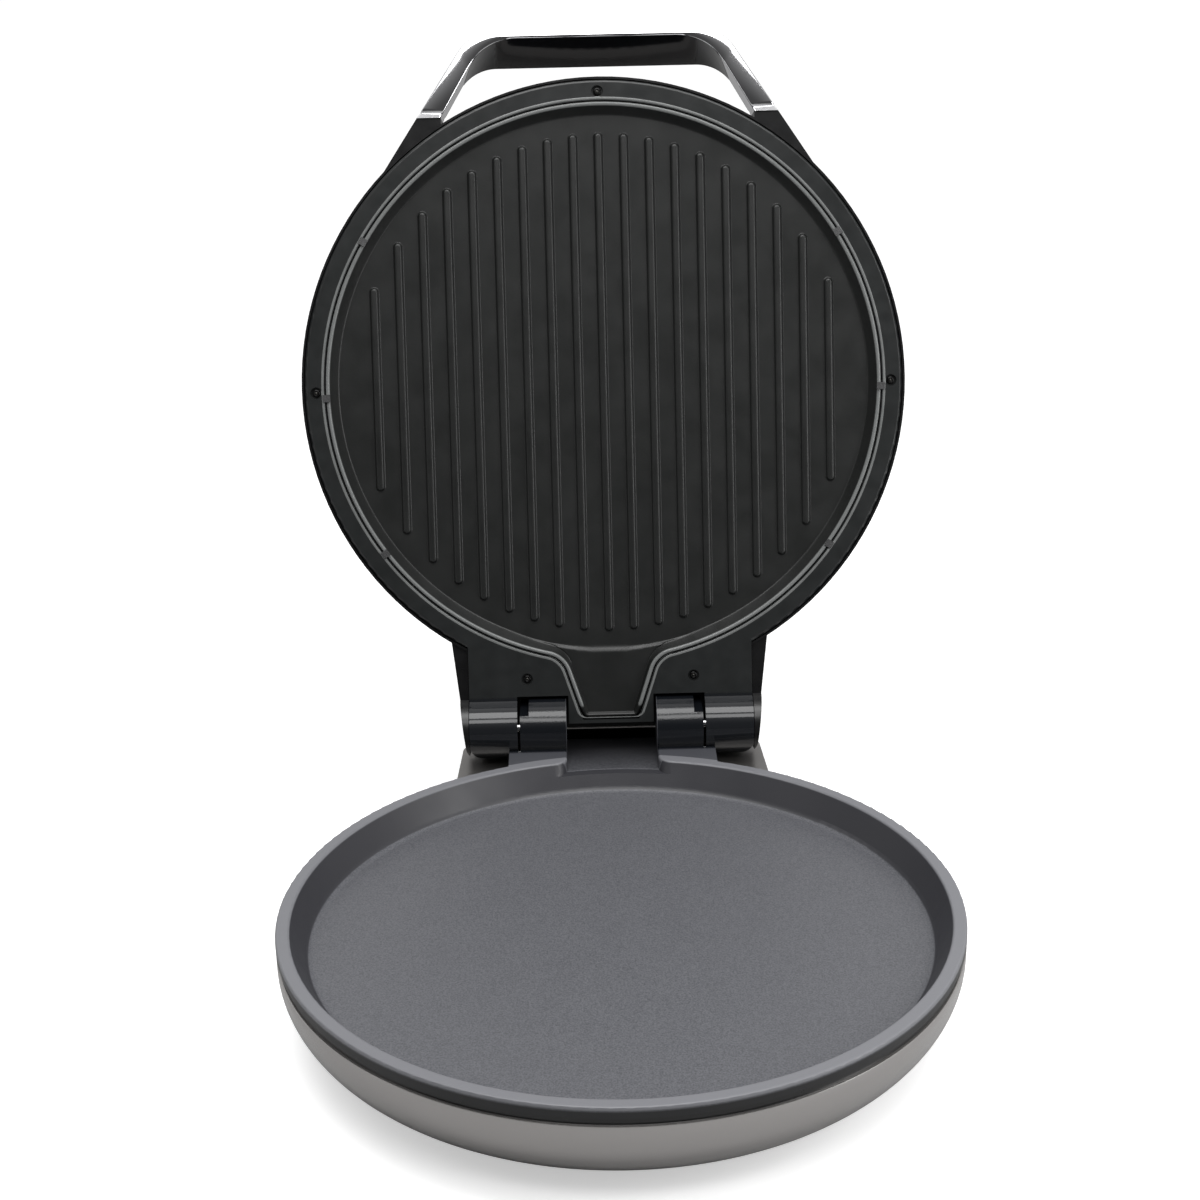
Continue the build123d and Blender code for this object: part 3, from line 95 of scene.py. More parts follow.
# ------------------------------------------------------------------ light, floor and world
def area_light(name, place, aim, size, power):
    """Rectangular lamp at place, turned to aim; metres and watts."""
    data = bpy.data.lights.new(name, "AREA")
    data.shape = "RECTANGLE"
    data.size, data.size_y = size
    data.energy = power
    lamp = bpy.data.objects.new(name, data)
    lamp.location = place
    lamp.rotation_euler = (Vector(aim) - Vector(place)).to_track_quat("-Z", "Y").to_euler()
    bpy.context.scene.collection.objects.link(lamp)


def ease(tree, value, start, end, low, high):
    """Smooth step of a value from low at start to high at end."""
    node = tree.nodes.new("ShaderNodeMapRange")
    node.interpolation_type = "SMOOTHSTEP"
    node.inputs["From Min"].default_value = start
    node.inputs["From Max"].default_value = end
    node.inputs["To Min"].default_value = low
    node.inputs["To Max"].default_value = high
    tree.links.new(value, node.inputs["Value"])
    return node.outputs["Result"]


def make_world():
    """White backdrop behind and beside the press, a dim room in front of it, softer light overhead."""
    world = bpy.data.worlds.new("studio")
    world.use_nodes = True
    tree = world.node_tree
    background = tree.nodes["Background"]
    background.inputs["Color"].default_value = (1.0, 1.0, 1.0, 1.0)
    direction = tree.nodes.new("ShaderNodeSeparateXYZ")
    tree.links.new(tree.nodes.new("ShaderNodeTexCoord").outputs["Generated"], direction.inputs["Vector"])
    behind = ease(tree, direction.outputs["Y"], -0.25, 0.3, ROOM_DIM, BACKDROP)
    above = ease(tree, direction.outputs["Z"], 0.35, 0.95, 0.0, OVERHEAD)
    light = tree.nodes.new("ShaderNodeMath")
    tree.links.new(behind, light.inputs[0])
    tree.links.new(above, light.inputs[1])
    path = tree.nodes.new("ShaderNodeLightPath")
    strength = tree.nodes.new("ShaderNodeMix")
    strength.inputs["B"].default_value = 1.0
    tree.links.new(path.outputs["Is Camera Ray"], strength.inputs["Factor"])
    tree.links.new(light.outputs["Value"], strength.inputs["A"])
    tree.links.new(strength.outputs["Result"], background.inputs["Strength"])
    bpy.context.scene.world = world


def make_floor():
    """White paper to the eye, greyer in reflections, so that the underside of the bowl stays shaded."""
    mesh = bpy.data.meshes.new("floor")
    half = 30.0
    mesh.from_pydata([(-half, -half, 0), (half, -half, 0), (half, half, 0), (-half, half, 0)], [], [(0, 1, 2, 3)])
    floor = bpy.data.objects.new("floor", mesh)
    bpy.context.scene.collection.objects.link(floor)
    material = bpy.data.materials.new("floor_white")
    material.use_nodes = True
    tree = material.node_tree
    shader = tree.nodes["Principled BSDF"]
    shader.inputs["Base Color"].default_value = (0.9, 0.9, 0.9, 1.0)
    shader.inputs["Roughness"].default_value = 0.7
    shader.inputs["Specular IOR Level"].default_value = 0.1
    shader.inputs["Emission Color"].default_value = (1.0, 1.0, 1.0, 1.0)
    shader.inputs["Emission Strength"].default_value = FLOOR_GLOW
    dull = tree.nodes.new("ShaderNodeBsdfDiffuse")
    dull.inputs["Color"].default_value = (FLOOR_GREY, FLOOR_GREY, FLOOR_GREY, 1.0)
    mix = tree.nodes.new("ShaderNodeMixShader")
    path = tree.nodes.new("ShaderNodeLightPath")
    tree.links.new(path.outputs["Is Camera Ray"], mix.inputs["Fac"])
    tree.links.new(dull.outputs["BSDF"], mix.inputs[1])
    tree.links.new(shader.outputs["BSDF"], mix.inputs[2])
    tree.links.new(mix.outputs["Shader"], tree.nodes["Material Output"].inputs["Surface"])
    mesh.materials.append(material)


ROOM_DIM = 0.06
BACKDROP = 0.62
OVERHEAD = 0.5
FLOOR_GLOW = 0.45
FLOOR_GREY = 0.4

bpy.context.scene.view_settings.view_transform = "Standard"
make_world()
make_floor()
area_light("softbox_front", (0.0, -1.25, 1.8), (0, 0.05, 0.25), (1.5, 0.5), 10.5)
area_light("softbox_top", (0.0, -0.25, 1.45), (0, -0.05, 0.05), (1.3, 0.6), 13.0)
area_light("strip_right", (0.85, -0.45, 0.4), (0.3, -0.2, 0.0), (0.35, 0.8), 5.0)
area_light("strip_left", (-1.0, -0.4, 0.4), (-0.3, -0.25, 0.0), (0.25, 0.9), 0.8)


# ------------------------------------------------------------------ materials
def principled(name, colour, roughness, metallic=0.0, specular=0.5, coat=0.0, coat_roughness=0.1):
    material = bpy.data.materials.new(name)
    material.use_nodes = True
    shader = material.node_tree.nodes["Principled BSDF"]
    shader.inputs["Base Color"].default_value = (*colour, 1.0)
    shader.inputs["Roughness"].default_value = roughness
    shader.inputs["Metallic"].default_value = metallic
    shader.inputs["Specular IOR Level"].default_value = specular
    shader.inputs["Coat Weight"].default_value = coat
    shader.inputs["Coat Roughness"].default_value = coat_roughness
    return material


def noise(material, scale, detail=3.0, roughness=0.5, stretch=None):
    """Noise in the object's own coordinates, its features about 1/scale metres across."""
    tree = material.node_tree
    coordinates = tree.nodes.new("ShaderNodeTexCoord")
    texture = tree.nodes.new("ShaderNodeTexNoise")
    texture.inputs["Scale"].default_value = scale
    texture.inputs["Detail"].default_value = detail
    texture.inputs["Roughness"].default_value = roughness
    if stretch is None:
        tree.links.new(coordinates.outputs["Object"], texture.inputs["Vector"])
    else:
        mapping = tree.nodes.new("ShaderNodeMapping")
        mapping.inputs["Scale"].default_value = stretch
        tree.links.new(coordinates.outputs["Object"], mapping.inputs["Vector"])
        tree.links.new(mapping.outputs["Vector"], texture.inputs["Vector"])
    return texture.outputs["Fac"]


def ramp(material, value, stops):
    """Colour ramp; stops are (position, colour) with colour a grey number or three numbers."""
    node = material.node_tree.nodes.new("ShaderNodeValToRGB")
    elements = node.color_ramp.elements
    while len(elements) < len(stops):
        elements.new(0.5)
    for element, (position, colour) in zip(elements, stops):
        element.position = position
        element.color = (colour, colour, colour, 1.0) if isinstance(colour, float) else (*colour, 1.0)
    material.node_tree.links.new(value, node.inputs["Fac"])
    return node.outputs["Color"]


def spread(material, value, low, high):
    """Maps 0.3 to 0.7 onto low to high."""
    node = material.node_tree.nodes.new("ShaderNodeMapRange")
    node.inputs["From Min"].default_value = 0.3
    node.inputs["From Max"].default_value = 0.7
    node.inputs["To Min"].default_value = low
    node.inputs["To Max"].default_value = high
    material.node_tree.links.new(value, node.inputs["Value"])
    return node.outputs["Result"]


def drive(material, socket, value):
    shader = material.node_tree.nodes["Principled BSDF"]
    material.node_tree.links.new(value, shader.inputs[socket])


def bump(material, value, strength, distance):
    tree = material.node_tree
    node = tree.nodes.new("ShaderNodeBump")
    node.inputs["Strength"].default_value = strength
    node.inputs["Distance"].default_value = distance
    tree.links.new(value, node.inputs["Height"])
    tree.links.new(node.outputs["Normal"], tree.nodes["Principled BSDF"].inputs["Normal"])


def math_node(material, operation, first, second):
    node = material.node_tree.nodes.new("ShaderNodeMath")
    node.operation = operation
    for socket, value in zip(node.inputs, (first, second)):
        if isinstance(value, float):
            socket.default_value = value
        else:
            material.node_tree.links.new(value, socket)
    return node.outputs["Value"]


def object_place(material):
    """X, Y and Z of the point in the object's own coordinates, which are the frame's at rest."""
    tree = material.node_tree
    place = tree.nodes.new("ShaderNodeSeparateXYZ")
    tree.links.new(tree.nodes.new("ShaderNodeTexCoord").outputs["Object"], place.inputs["Vector"])
    return place.outputs["X"], place.outputs["Y"], place.outputs["Z"]


def length(material, first, second):
    """Length of a vector with two components."""
    squares = [math_node(material, "MULTIPLY", part, part) for part in (first, second)]
    return math_node(material, "SQRT", math_node(material, "ADD", *squares), 0.0)


def near_hinge(material, radius, soft):
    """1 on the knuckles, falling to 0 beyond a radius about the hinge axis and between the knuckles."""
    x, y, z = object_place(material)
    dy = math_node(material, "SUBTRACT", y, HINGE.y)
    dz = math_node(material, "SUBTRACT", z, HINGE.z)
    close = ease(material.node_tree, length(material, dy, dz), radius, radius + soft, 1.0, 0.0)
    aside = math_node(material, "GREATER_THAN", math_node(material, "ABSOLUTE", x, 0.0), KNUCKLE_X)
    return math_node(material, "MULTIPLY", close, aside)


def blend_to(material, weight, value, other):
    """value where weight is 0, other where it is 1."""
    node = material.node_tree.nodes.new("ShaderNodeMix")
    node.inputs["B"].default_value = other
    material.node_tree.links.new(weight, node.inputs["Factor"])
    material.node_tree.links.new(value, node.inputs["A"])
    return node.outputs["Result"]


def tint(material, weight, colour, other):
    """Mixes a colour output towards another colour by weight."""
    node = material.node_tree.nodes.new("ShaderNodeMix")
    node.data_type = "RGBA"
    node.inputs[7].default_value = (*other, 1.0)
    material.node_tree.links.new(weight, node.inputs["Factor"])
    material.node_tree.links.new(colour, node.inputs[6])
    return node.outputs[2]


def near_face(material, low, high):
    """1 below a height in the lid's own frame, falling to 0 above it: the rims that stand nearest the food."""
    tree = material.node_tree
    away = LID.to_3x3() @ Vector((0.0, 0.0, 1.0))
    offset = tree.nodes.new("ShaderNodeVectorMath")
    offset.operation = "SUBTRACT"
    offset.inputs[1].default_value = LID @ Vector((0.0, 0.0, 0.0))
    tree.links.new(tree.nodes.new("ShaderNodeTexCoord").outputs["Object"], offset.inputs[0])
    height = tree.nodes.new("ShaderNodeVectorMath")
    height.operation = "DOT_PRODUCT"
    height.inputs[1].default_value = away
    tree.links.new(offset.outputs["Vector"], height.inputs[0])
    return ease(tree, height.outputs["Value"], low * MM, high * MM, 1.0, 0.0)


def pan_place(material):
    """Radius from the pan's middle, |x|, y behind the middle, and height."""
    x, y, z = object_place(material)
    behind = math_node(material, "SUBTRACT", y, PAN_Y)
    return length(material, x, behind), math_node(material, "ABSOLUTE", x, 0.0), behind, z


def product(material, *factors):
    """Product of several mask values."""
    value = factors[0]
    for factor in factors[1:]:
        value = math_node(material, "MULTIPLY", value, factor)
    return value


def skirt_and_channel_shade(material):
    """1 on the pan's outer skirt, for its own dark colour; along the drain channel it rises to 1 just behind the
    hinge axis, a painted shade that darkens the channel towards the hinge.
    """
    tree = material.node_tree
    radius, across, y, height = pan_place(material)
    outside = math_node(material, "GREATER_THAN", radius, SKIRT_R)
    low = ease(tree, height, SKIRT_Z - SOFT, SKIRT_Z, 1.0, 0.0)
    behind = math_node(material, "GREATER_THAN", y, CHANNEL_Y[0])
    channel = product(material, behind, math_node(material, "LESS_THAN", across, CHANNEL_HALF_X))
    lighter = product(material, channel, ease(tree, y, *CHANNEL_Y, CHANNEL_KEEP, 0.0))
    return product(material, outside, low, math_node(material, "SUBTRACT", 1.0, lighter))


def painted_wall_shade(material):
    """1 on the pan's inner wall, between the floor's corner and the rim, where the coating is painted darker as
    shade.
    """
    tree = material.node_tree
    radius, _, _, height = pan_place(material)
    out = ease(tree, radius, WALL_R[0], WALL_R[0] + FOOT_SOFT[0], 0.0, 1.0)
    within = math_node(material, "LESS_THAN", radius, WALL_R[1])
    above = ease(tree, height, WALL_Z[0], WALL_Z[0] + FOOT_SOFT[1], 0.0, 1.0)
    under = ease(tree, height, WALL_Z[1] - TOP_SOFT, WALL_Z[1], 1.0, 0.0)
    return product(material, out, within, above, under)


def coating(
    name, dark, light, roughness, speck_scale, bump_height,
    knuckles=None, bead=None, skirt=None, wall=None, rim=None, deck=None,
):
    """Non-stick coating: satin, with the fine sparkle and pebble of a sprayed finish; its rim and bead colours are
    painted highlights, its wall and channel colours painted shade.
    """
    material = principled(name, light, roughness, specular=0.5)
    fine = noise(material, speck_scale, detail=4.0, roughness=0.7)
    colour = ramp(material, fine, [(0.3, dark), (0.62, light)])
    gloss = spread(material, noise(material, 60.0), roughness - 0.04, roughness + 0.05)
    # rim: the rim's top is painted lighter, a painted highlight; the deck beyond it gets the deck colour, a darker
    # tone
    if rim:
        radius, _, _, height = pan_place(material)
        level = math_node(material, "GREATER_THAN", height, SKIRT_Z)
        outer = math_node(material, "GREATER_THAN", radius, RIM_R[1])
        inner = math_node(material, "GREATER_THAN", radius, RIM_R[0])
        colour = tint(material, product(material, level, inner), colour, rim)
        colour = tint(material, product(material, level, outer), colour, deck)
    if knuckles:
        weight = near_hinge(material, *PAN_KNUCKLE)
        colour = tint(material, weight, colour, knuckles)
        gloss = blend_to(material, weight, gloss, KNUCKLE_ROUGHNESS)
    # skirt: the outer skirt's own dark colour; along the drain channel the same colour is painted shade, darker
    # towards the hinge
    if skirt:
        colour = tint(material, skirt_and_channel_shade(material), colour, skirt)
    # wall: the pan's inner wall is painted darker, a painted shade
    if wall:
        colour = tint(material, painted_wall_shade(material), colour, wall)
    # bead: the plate's bead, nearest the food, is painted light grey, a painted highlight
    if bead:
        weight = near_face(material, *BEAD_H)
        colour = tint(material, weight, colour, bead)
        gloss = blend_to(material, weight, gloss, EDGE_ROUGHNESS)
    drive(material, "Base Color", colour)
    drive(material, "Roughness", gloss)
    bump(material, fine, 0.35, bump_height)
    return material


def moulding(name, colour, roughness, grain_scale, grain_height, mottle=0.15, coat=0.0, knuckles=None):
    """Moulded plastic: slightly uneven gloss over a fine spark-eroded grain."""
    material = principled(name, colour, roughness, coat=coat)
    dark = tuple(c * (1 - mottle) for c in colour)
    light = tuple(c * (1 + mottle) for c in colour)
    shade = ramp(material, noise(material, 90.0), [(0.3, dark), (0.7, light)])
    gloss = spread(material, noise(material, 140.0), roughness * 0.9, roughness * 1.12)
    if knuckles:
        weight = near_hinge(material, *BEZEL_KNUCKLE)
        shade = tint(material, weight, shade, knuckles)
        gloss = blend_to(material, weight, gloss, KNUCKLE_ROUGHNESS)
    drive(material, "Base Color", shade)
    drive(material, "Roughness", gloss)
    bump(material, noise(material, grain_scale, detail=2.0), 0.25, grain_height)
    return material


def hinge_shade_mask(material):
    """1 on the housing between the outer ends of the pan's knuckles, back to the middle of its back wall: the part
    painted black as the hinge's shade.
    """
    x, y, _ = object_place(material)
    inside = math_node(material, "LESS_THAN", math_node(material, "ABSOLUTE", x, 0.0), HINGE_SHADE_LIMITS[0])
    front = math_node(material, "LESS_THAN", y, HINGE_SHADE_LIMITS[1])
    return math_node(material, "MULTIPLY", inside, front)


def lacquer(name, colour, roughness, painted_hinge_shade=False):
    """Metallic lacquer: fine flakes under a clear coat."""
    material = principled(name, colour, roughness, metallic=0.85, coat=0.35, coat_roughness=0.12)
    flakes = noise(material, 3800.0, detail=1.0)
    dark = tuple(c * 0.88 for c in colour)
    shade = ramp(material, flakes, [(0.35, dark), (0.65, colour)])
    # the housing near the hinge is painted black, a painted shade
    if painted_hinge_shade:
        shade = tint(material, hinge_shade_mask(material), shade, HINGE_SHADE_BLACK)
    drive(material, "Base Color", shade)
    return material


def metal(name, colour, roughness, grain=(1.0, 1.0, 1.0), wear=0.05, mottle=0.15):
    material = principled(name, colour, roughness, metallic=1.0)
    lines = noise(material, 900.0, detail=2.0, stretch=grain)
    drive(material, "Roughness", spread(material, lines, max(roughness - wear, 0.02), roughness + wear))
    dark = tuple(c * (1 - mottle) for c in colour)
    drive(material, "Base Color", ramp(material, noise(material, 200.0), [(0.3, dark), (0.7, colour)]))
    return material


def lens(name, colour):
    material = principled(name, colour, 0.08, specular=0.6, coat=0.5, coat_roughness=0.03)
    shader = material.node_tree.nodes["Principled BSDF"]
    shader.inputs["Transmission Weight"].default_value = 0.6
    dark = tuple(c * 0.7 for c in colour)
    drive(material, "Base Color", ramp(material, noise(material, 700.0), [(0.3, dark), (0.7, colour)]))
    return material


# where the finish, the painted highlights and the painted shade change: metres in the frame, unless a name or a
# comment says otherwise
KNUCKLE_ROUGHNESS = 0.09
EDGE_ROUGHNESS = 0.26
KNUCKLE_X = 25.7 * MM  # just past the |x| at which the pan's knuckles start
PAN_KNUCKLE = (0.0185, 0.003)  # radius about the hinge, and the width of the change
BEZEL_KNUCKLE = (0.0175, 0.002)
BEAD_H = (0.7, 1.5)  # heights in the lid's drawing over which the bead's painted highlight fades, in millimetres
HINGE_SHADE_LIMITS = (51.5 * MM, 134.8 * MM)  # |x| and y inside which the housing is painted black, a painted shade under the hinge
HINGE_SHADE_BLACK = (0.002, 0.002, 0.002)
RIM_R = (161.0 * MM, 168.3 * MM)  # just inside and just outside the rim, whose top is painted lighter as a highlight; the deck lies beyond the second
CHANNEL_Y = (155.0 * MM, 196.0 * MM)  # behind the pan's middle, where the channel's painted shade starts and ends its rise
CHANNEL_HALF_X = 38.0 * MM  # wide enough for the channel's mouth
CHANNEL_KEEP = 0.65  # share of the coating's own colour where that painted shade starts
# the pan's inner wall, painted darker as shade: its radii and heights, and how soft the painted shade's edges are
WALL_R = (152.6 * MM, 163.0 * MM)
WALL_Z = (RIM_Z - 15.0 * MM, RIM_Z - 0.2 * MM)
FOOT_SOFT = (0.8 * MM, 0.9 * MM)  # change at the wall's foot, across and up
TOP_SOFT = 1.0 * MM
SKIRT_R = 164.0 * MM
SKIRT_Z = RIM_Z - 1.6 * MM
SOFT = 1.2 * MM

MATERIALS = {
    # pan_coating: the rim colour is a painted highlight, the wall colour painted shade, and the skirt colour also
    # painted shade in the drain channel
    "pan_coating": coating(
        "pan_coating", (0.045, 0.0465, 0.053), (0.118, 0.12, 0.132), 0.42, 1150.0, 0.00012, (0.006, 0.007, 0.009),
        skirt=(0.006, 0.006, 0.007), wall=(0.03, 0.03, 0.035), rim=(0.16, 0.162, 0.175), deck=(0.055, 0.057, 0.065),
    ),
    # plate_coating: its bead colour is a painted highlight on the plate's rim
    "plate_coating": coating(
        "plate_coating", (0.004, 0.0044, 0.0042), (0.008, 0.0087, 0.0082), 0.4, 2600.0, 0.00006,
        bead=(0.16, 0.166, 0.164),
    ),
    # bezel_edge: the bezel's plastic painted light grey, a painted highlight on the lip round its opening
    "bezel_edge": moulding("bezel_edge", (0.15, 0.155, 0.153), 0.26, 1800.0, 0.00002),
    "bezel_black": moulding(
        "bezel_black", (0.012, 0.0132, 0.0133), 0.33, 1800.0, 0.00003, knuckles=(0.01, 0.011, 0.013)
    ),
    "frame_black": moulding("frame_black", (0.003, 0.003, 0.0033), 0.3, 1200.0, 0.00001),
    "silver_shell": lacquer("silver_shell", (0.42, 0.405, 0.395), 0.25),
    # silver_housing: the housing between the knuckles is painted black as the hinge's shade
    "silver_housing": lacquer("silver_housing", (0.2, 0.192, 0.185), 0.35, painted_hinge_shade=True),
    "handle_chrome": metal("handle_chrome", (0.86, 0.86, 0.88), 0.06, wear=0.004, mottle=0.01),
    "grip_black": moulding("grip_black", (0.004, 0.0042, 0.005), 0.08, 300.0, 0.000004, coat=0.4),
    "steel": metal("steel", (0.66, 0.66, 0.67), 0.22, grain=(1.0, 12.0, 12.0)),
    "screw_steel": metal("screw_steel", (0.09, 0.088, 0.082), 0.34),
    "screw_black": metal("screw_black", (0.02, 0.02, 0.02), 0.3),
    "heater_sheath": metal("heater_sheath", (0.3, 0.31, 0.29), 0.5, wear=0.1),
    "reflector_sheet": metal("reflector_sheet", (0.85, 0.85, 0.86), 0.2, grain=(1.0, 20.0, 1.0)),
    "ceramic": moulding("ceramic", (0.8, 0.77, 0.7), 0.5, 900.0, 0.00003, mottle=0.05),
    "thermostat_body": moulding("thermostat_body", (0.6, 0.56, 0.48), 0.45, 900.0, 0.00002),
    "rubber": moulding("rubber", (0.012, 0.012, 0.0125), 0.6, 1500.0, 0.00004),
    "wire_sleeve": moulding("wire_sleeve", (0.72, 0.72, 0.66), 0.7, 2500.0, 0.0001),
    "lens_red": lens("lens_red", (0.6, 0.03, 0.02)),
    "lens_green": lens("lens_green", (0.03, 0.42, 0.1)),
}

SLOT_OF = {entry["node"]: entry["material_slot"] for entry in frame["record"]["subparts"]}
for node, piece in NODES.items():
    piece.data.materials.clear()
    piece.data.materials.append(MATERIALS["silver_housing" if node == "rear_housing" else SLOT_OF[node]])
    shade = piece.modifiers.new("even_shading", "WEIGHTED_NORMAL")
    shade.mode = "FACE_AREA_WITH_ANGLE"
    shade.weight = 90
    shade.keep_sharp = True


# ------------------------------------------------------------------ meshes
def new_piece(name, vertices, faces, slot, body, stands_for=(), place=LID, sharp=40.0, look=None):
    """Mesh piece from points in millimetres in a body's own drawing frame."""
    mesh = bpy.data.meshes.new(name)
    mesh.from_pydata([place @ (Vector(v) * MM) for v in vertices], [], faces)
    builder = bmesh.new()
    builder.from_mesh(mesh)
    bmesh.ops.remove_doubles(builder, verts=builder.verts, dist=1e-6)
    bmesh.ops.dissolve_degenerate(builder, edges=builder.edges, dist=1e-6)
    bmesh.ops.recalc_face_normals(builder, faces=builder.faces)
    for face in builder.faces:
        face.smooth = True
    for edge in builder.edges:
        if len(edge.link_faces) == 2 and edge.calc_face_angle(0.0) > radians(sharp):
            edge.smooth = False
    builder.to_mesh(mesh)
    builder.free()
    piece = bpy.data.objects.new(name, mesh)
    bpy.context.scene.collection.objects.link(piece)
    mesh.materials.append(MATERIALS[look or slot])
    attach(piece, body)
    if stands_for:
        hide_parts(*stands_for)


def bands(loops):
    """Vertices and quads between closed loops of equal length."""
    count = len(loops[0])
    vertices = [point for loop in loops for point in loop]
    faces = []
    for row in range(len(loops) - 1):
        for i in range(count):
            j = (i + 1) % count
            faces.append((row * count + i, row * count + j, (row + 1) * count + j, (row + 1) * count + i))
    return vertices, faces


def arc(centre, radius, start, end, count):
    """Points of an arc, its ends included."""
    for i in range(count):
        angle = start + (end - start) * i / (count - 1)
        yield centre[0] + radius * cos(angle), centre[1] + radius * sin(angle)


def run(start, end, count):
    """Points of a straight run, its start included and its end left out."""
    for i in range(count):
        t = i / count
        yield start[0] + (end[0] - start[0]) * t, start[1] + (end[1] - start[1]) * t


# ------------------------------------------------------------------ upper plate
PLATE_R = 154.8  # fills half of the CAD's clearance to the bezel, as the gap looks narrower in the photo
PLATE_FACE = 0.4
PLATE_BACK = 9.9
COOK_H = 6.4
COOK_R = 148.2
TONGUE_TIP_X = 15.1
TONGUE_SLOPE = 1 / 3
TONGUE_END = 188.0
TONGUE_H = 5.2
FLARE_R = 14.0
TIP_CORNER = 3.5
TIP_EASE = (9.0, 7.0)  # how far before its end the tongue's bead starts to move away from the food, and over what length
BEAD_W = 2.45  # width of the bead round the plate
WALL_SHORT = 2.0  # the ring's wall is this much narrower than PLATE_R - COOK_R
TONGUE_WALL_W = 1.4
TIP_BEAD = 1.4  # at the tip the bead is this much nearer the food than the tongue's floor
TONGUE_ROOT = (140.0, 18.0, 60.0)  # y where the tongue's wall takes over, over what length, and inside which |x|
FLOOR_INNER_R = 140.0  # the floor's rings stop here, and one face fills the rest
FLOOR_RINGS = 36
FLOOR_STEP = 1.2  # width of the step from the tongue's floor to the cooking surface
CIRCLE_POINTS = 300


def tongue_outline(radius, tip_x, inset, inset_tip=None):
    """Plan of the plate and its tongue, moved inwards by inset; it starts and ends at the handle side."""
    lean = sqrt(1 + TONGUE_SLOPE**2)
    reach = tip_x + TONGUE_END * TONGUE_SLOPE + FLARE_R * lean
    far = radius + FLARE_R
    root = reach**2 * TONGUE_SLOPE**2 - lean**2 * (reach**2 - far**2)
    flare_y = (reach * TONGUE_SLOPE + sqrt(root)) / lean**2
    flare_x = reach - TONGUE_SLOPE * flare_y
    turn = atan2(flare_y, flare_x)
    normal = atan2(TONGUE_SLOPE, 1.0)
    end = TONGUE_END - (inset if inset_tip is None else inset_tip)
    tip = tip_x + TONGUE_SLOPE * (TONGUE_END - end) - inset * lean
    corner = max(TIP_CORNER - inset, 0.6)
    half = list(arc((0, 0), radius - inset, -pi / 2, turn, CIRCLE_POINTS // 2))
    half += list(arc((flare_x, flare_y), FLARE_R + inset, turn + pi, normal + pi, 16))[1:]
    side_end = (tip + TONGUE_SLOPE * corner, end - corner)
    centre = (side_end[0] - corner * cos(normal), side_end[1] - corner * sin(normal))
    half += list(run(half[-1], side_end, 10))[1:]
    half += list(arc(centre, corner, normal, pi / 2, 7))
    mirrored = [(-x, y) for x, y in reversed(half)]
    return half + mirrored[:-1]


def plate_heights(outline, height, tip_height):
    """Adds the height to an outline, easing it to tip_height over the tongue's last stretch."""
    points = []
    for x, y in outline:
        t = min(max((y - (TONGUE_END - TIP_EASE[0])) / TIP_EASE[1], 0.0), 1.0)
        points.append((x, y, height + (tip_height - height) * t * t * (3 - 2 * t)))
    return points


def make_upper_plate():
    """Plate with its bead, its sloping wall and the tongue that drains it, closed at the back."""
    lip = TONGUE_H - TIP_BEAD
    section = [  # inset from the edge, height on the ring, height at the tongue's tip
        (0.0, PLATE_BACK, PLATE_BACK),
        (0.0, PLATE_FACE + 1.3, lip + 1.2),
        (0.1, PLATE_FACE + 0.75, lip + 0.7),
        (0.4, PLATE_FACE + 0.28, lip + 0.25),
        (0.85, PLATE_FACE + 0.04, lip + 0.03),
        (1.3, PLATE_FACE, lip),
        (1.75, PLATE_FACE + 0.1, lip + 0.06),
        (2.15, PLATE_FACE + 0.42, lip + 0.25),
        (BEAD_W, PLATE_FACE + 0.95, lip + 0.55),
    ]
    loops = []
    for inset, height, tip_height in section:
        loops.append(plate_heights(tongue_outline(PLATE_R, TONGUE_TIP_X, inset), height, tip_height))
    # the wall slopes down to the cooking surface on the ring, and is steeper along the tongue
    for fraction, height in ((0.78, COOK_H - 1.1), (0.88, COOK_H - 0.45), (1.0, COOK_H)):
        wide = tongue_outline(PLATE_R, TONGUE_TIP_X, BEAD_W + fraction * (PLATE_R - COOK_R - WALL_SHORT))
        narrow = tongue_outline(PLATE_R, TONGUE_TIP_X, BEAD_W + fraction * TONGUE_WALL_W)
        loop = []
        for (wx, wy), (nx, ny) in zip(wide, narrow):
            start, stretch, half_width = TONGUE_ROOT
            t = min(max((ny - start) / stretch, 0.0), 1.0) if abs(nx) < half_width else 0.0
            depth = height + (min(height, TONGUE_H) - height) * t
            loop.append((wx + (nx - wx) * t, wy + (ny - wy) * t, depth))
        loops.append(loop)
    vertices, faces = bands(loops)
    count = len(loops[0])
    faces.append(tuple(reversed(range(count))))
    # floor: rings from the wall's foot to FLOOR_INNER_R, with a step where the tongue's floor begins
    foot = len(vertices) - count
    previous = list(range(foot, foot + count))
    for step in range(1, FLOOR_RINGS + 1):
        ring = []
        for x, y, h in loops[-1]:
            reach = sqrt(x * x + y * y)
            r = reach + (FLOOR_INNER_R - reach) * step / FLOOR_RINGS
            t = min(max((r - COOK_R) / FLOOR_STEP, 0.0), 1.0)
            drop = (min(h, TONGUE_H) - COOK_H) * t * (reach > COOK_R)
            ring.append(len(vertices))
            vertices.append((x * r / reach, y * r / reach, COOK_H + drop))
        for i in range(count):
            j = (i + 1) % count
            faces.append((previous[i], previous[j], ring[j], ring[i]))
        previous = ring
    faces.append(tuple(previous))
    return vertices, faces


RIB_COUNT = 19
RIB_PITCH = 14.05
RIB_HALF = 2.5
RIB_CIRCLE_R = 138.5
RIB_SECTION = [(-0.45, -0.03), (-0.1, 0.12), (0.2, 0.55), (0.5, 1.15), (0.8, 1.52), (1.2, 1.74), (1.7, 1.8)]


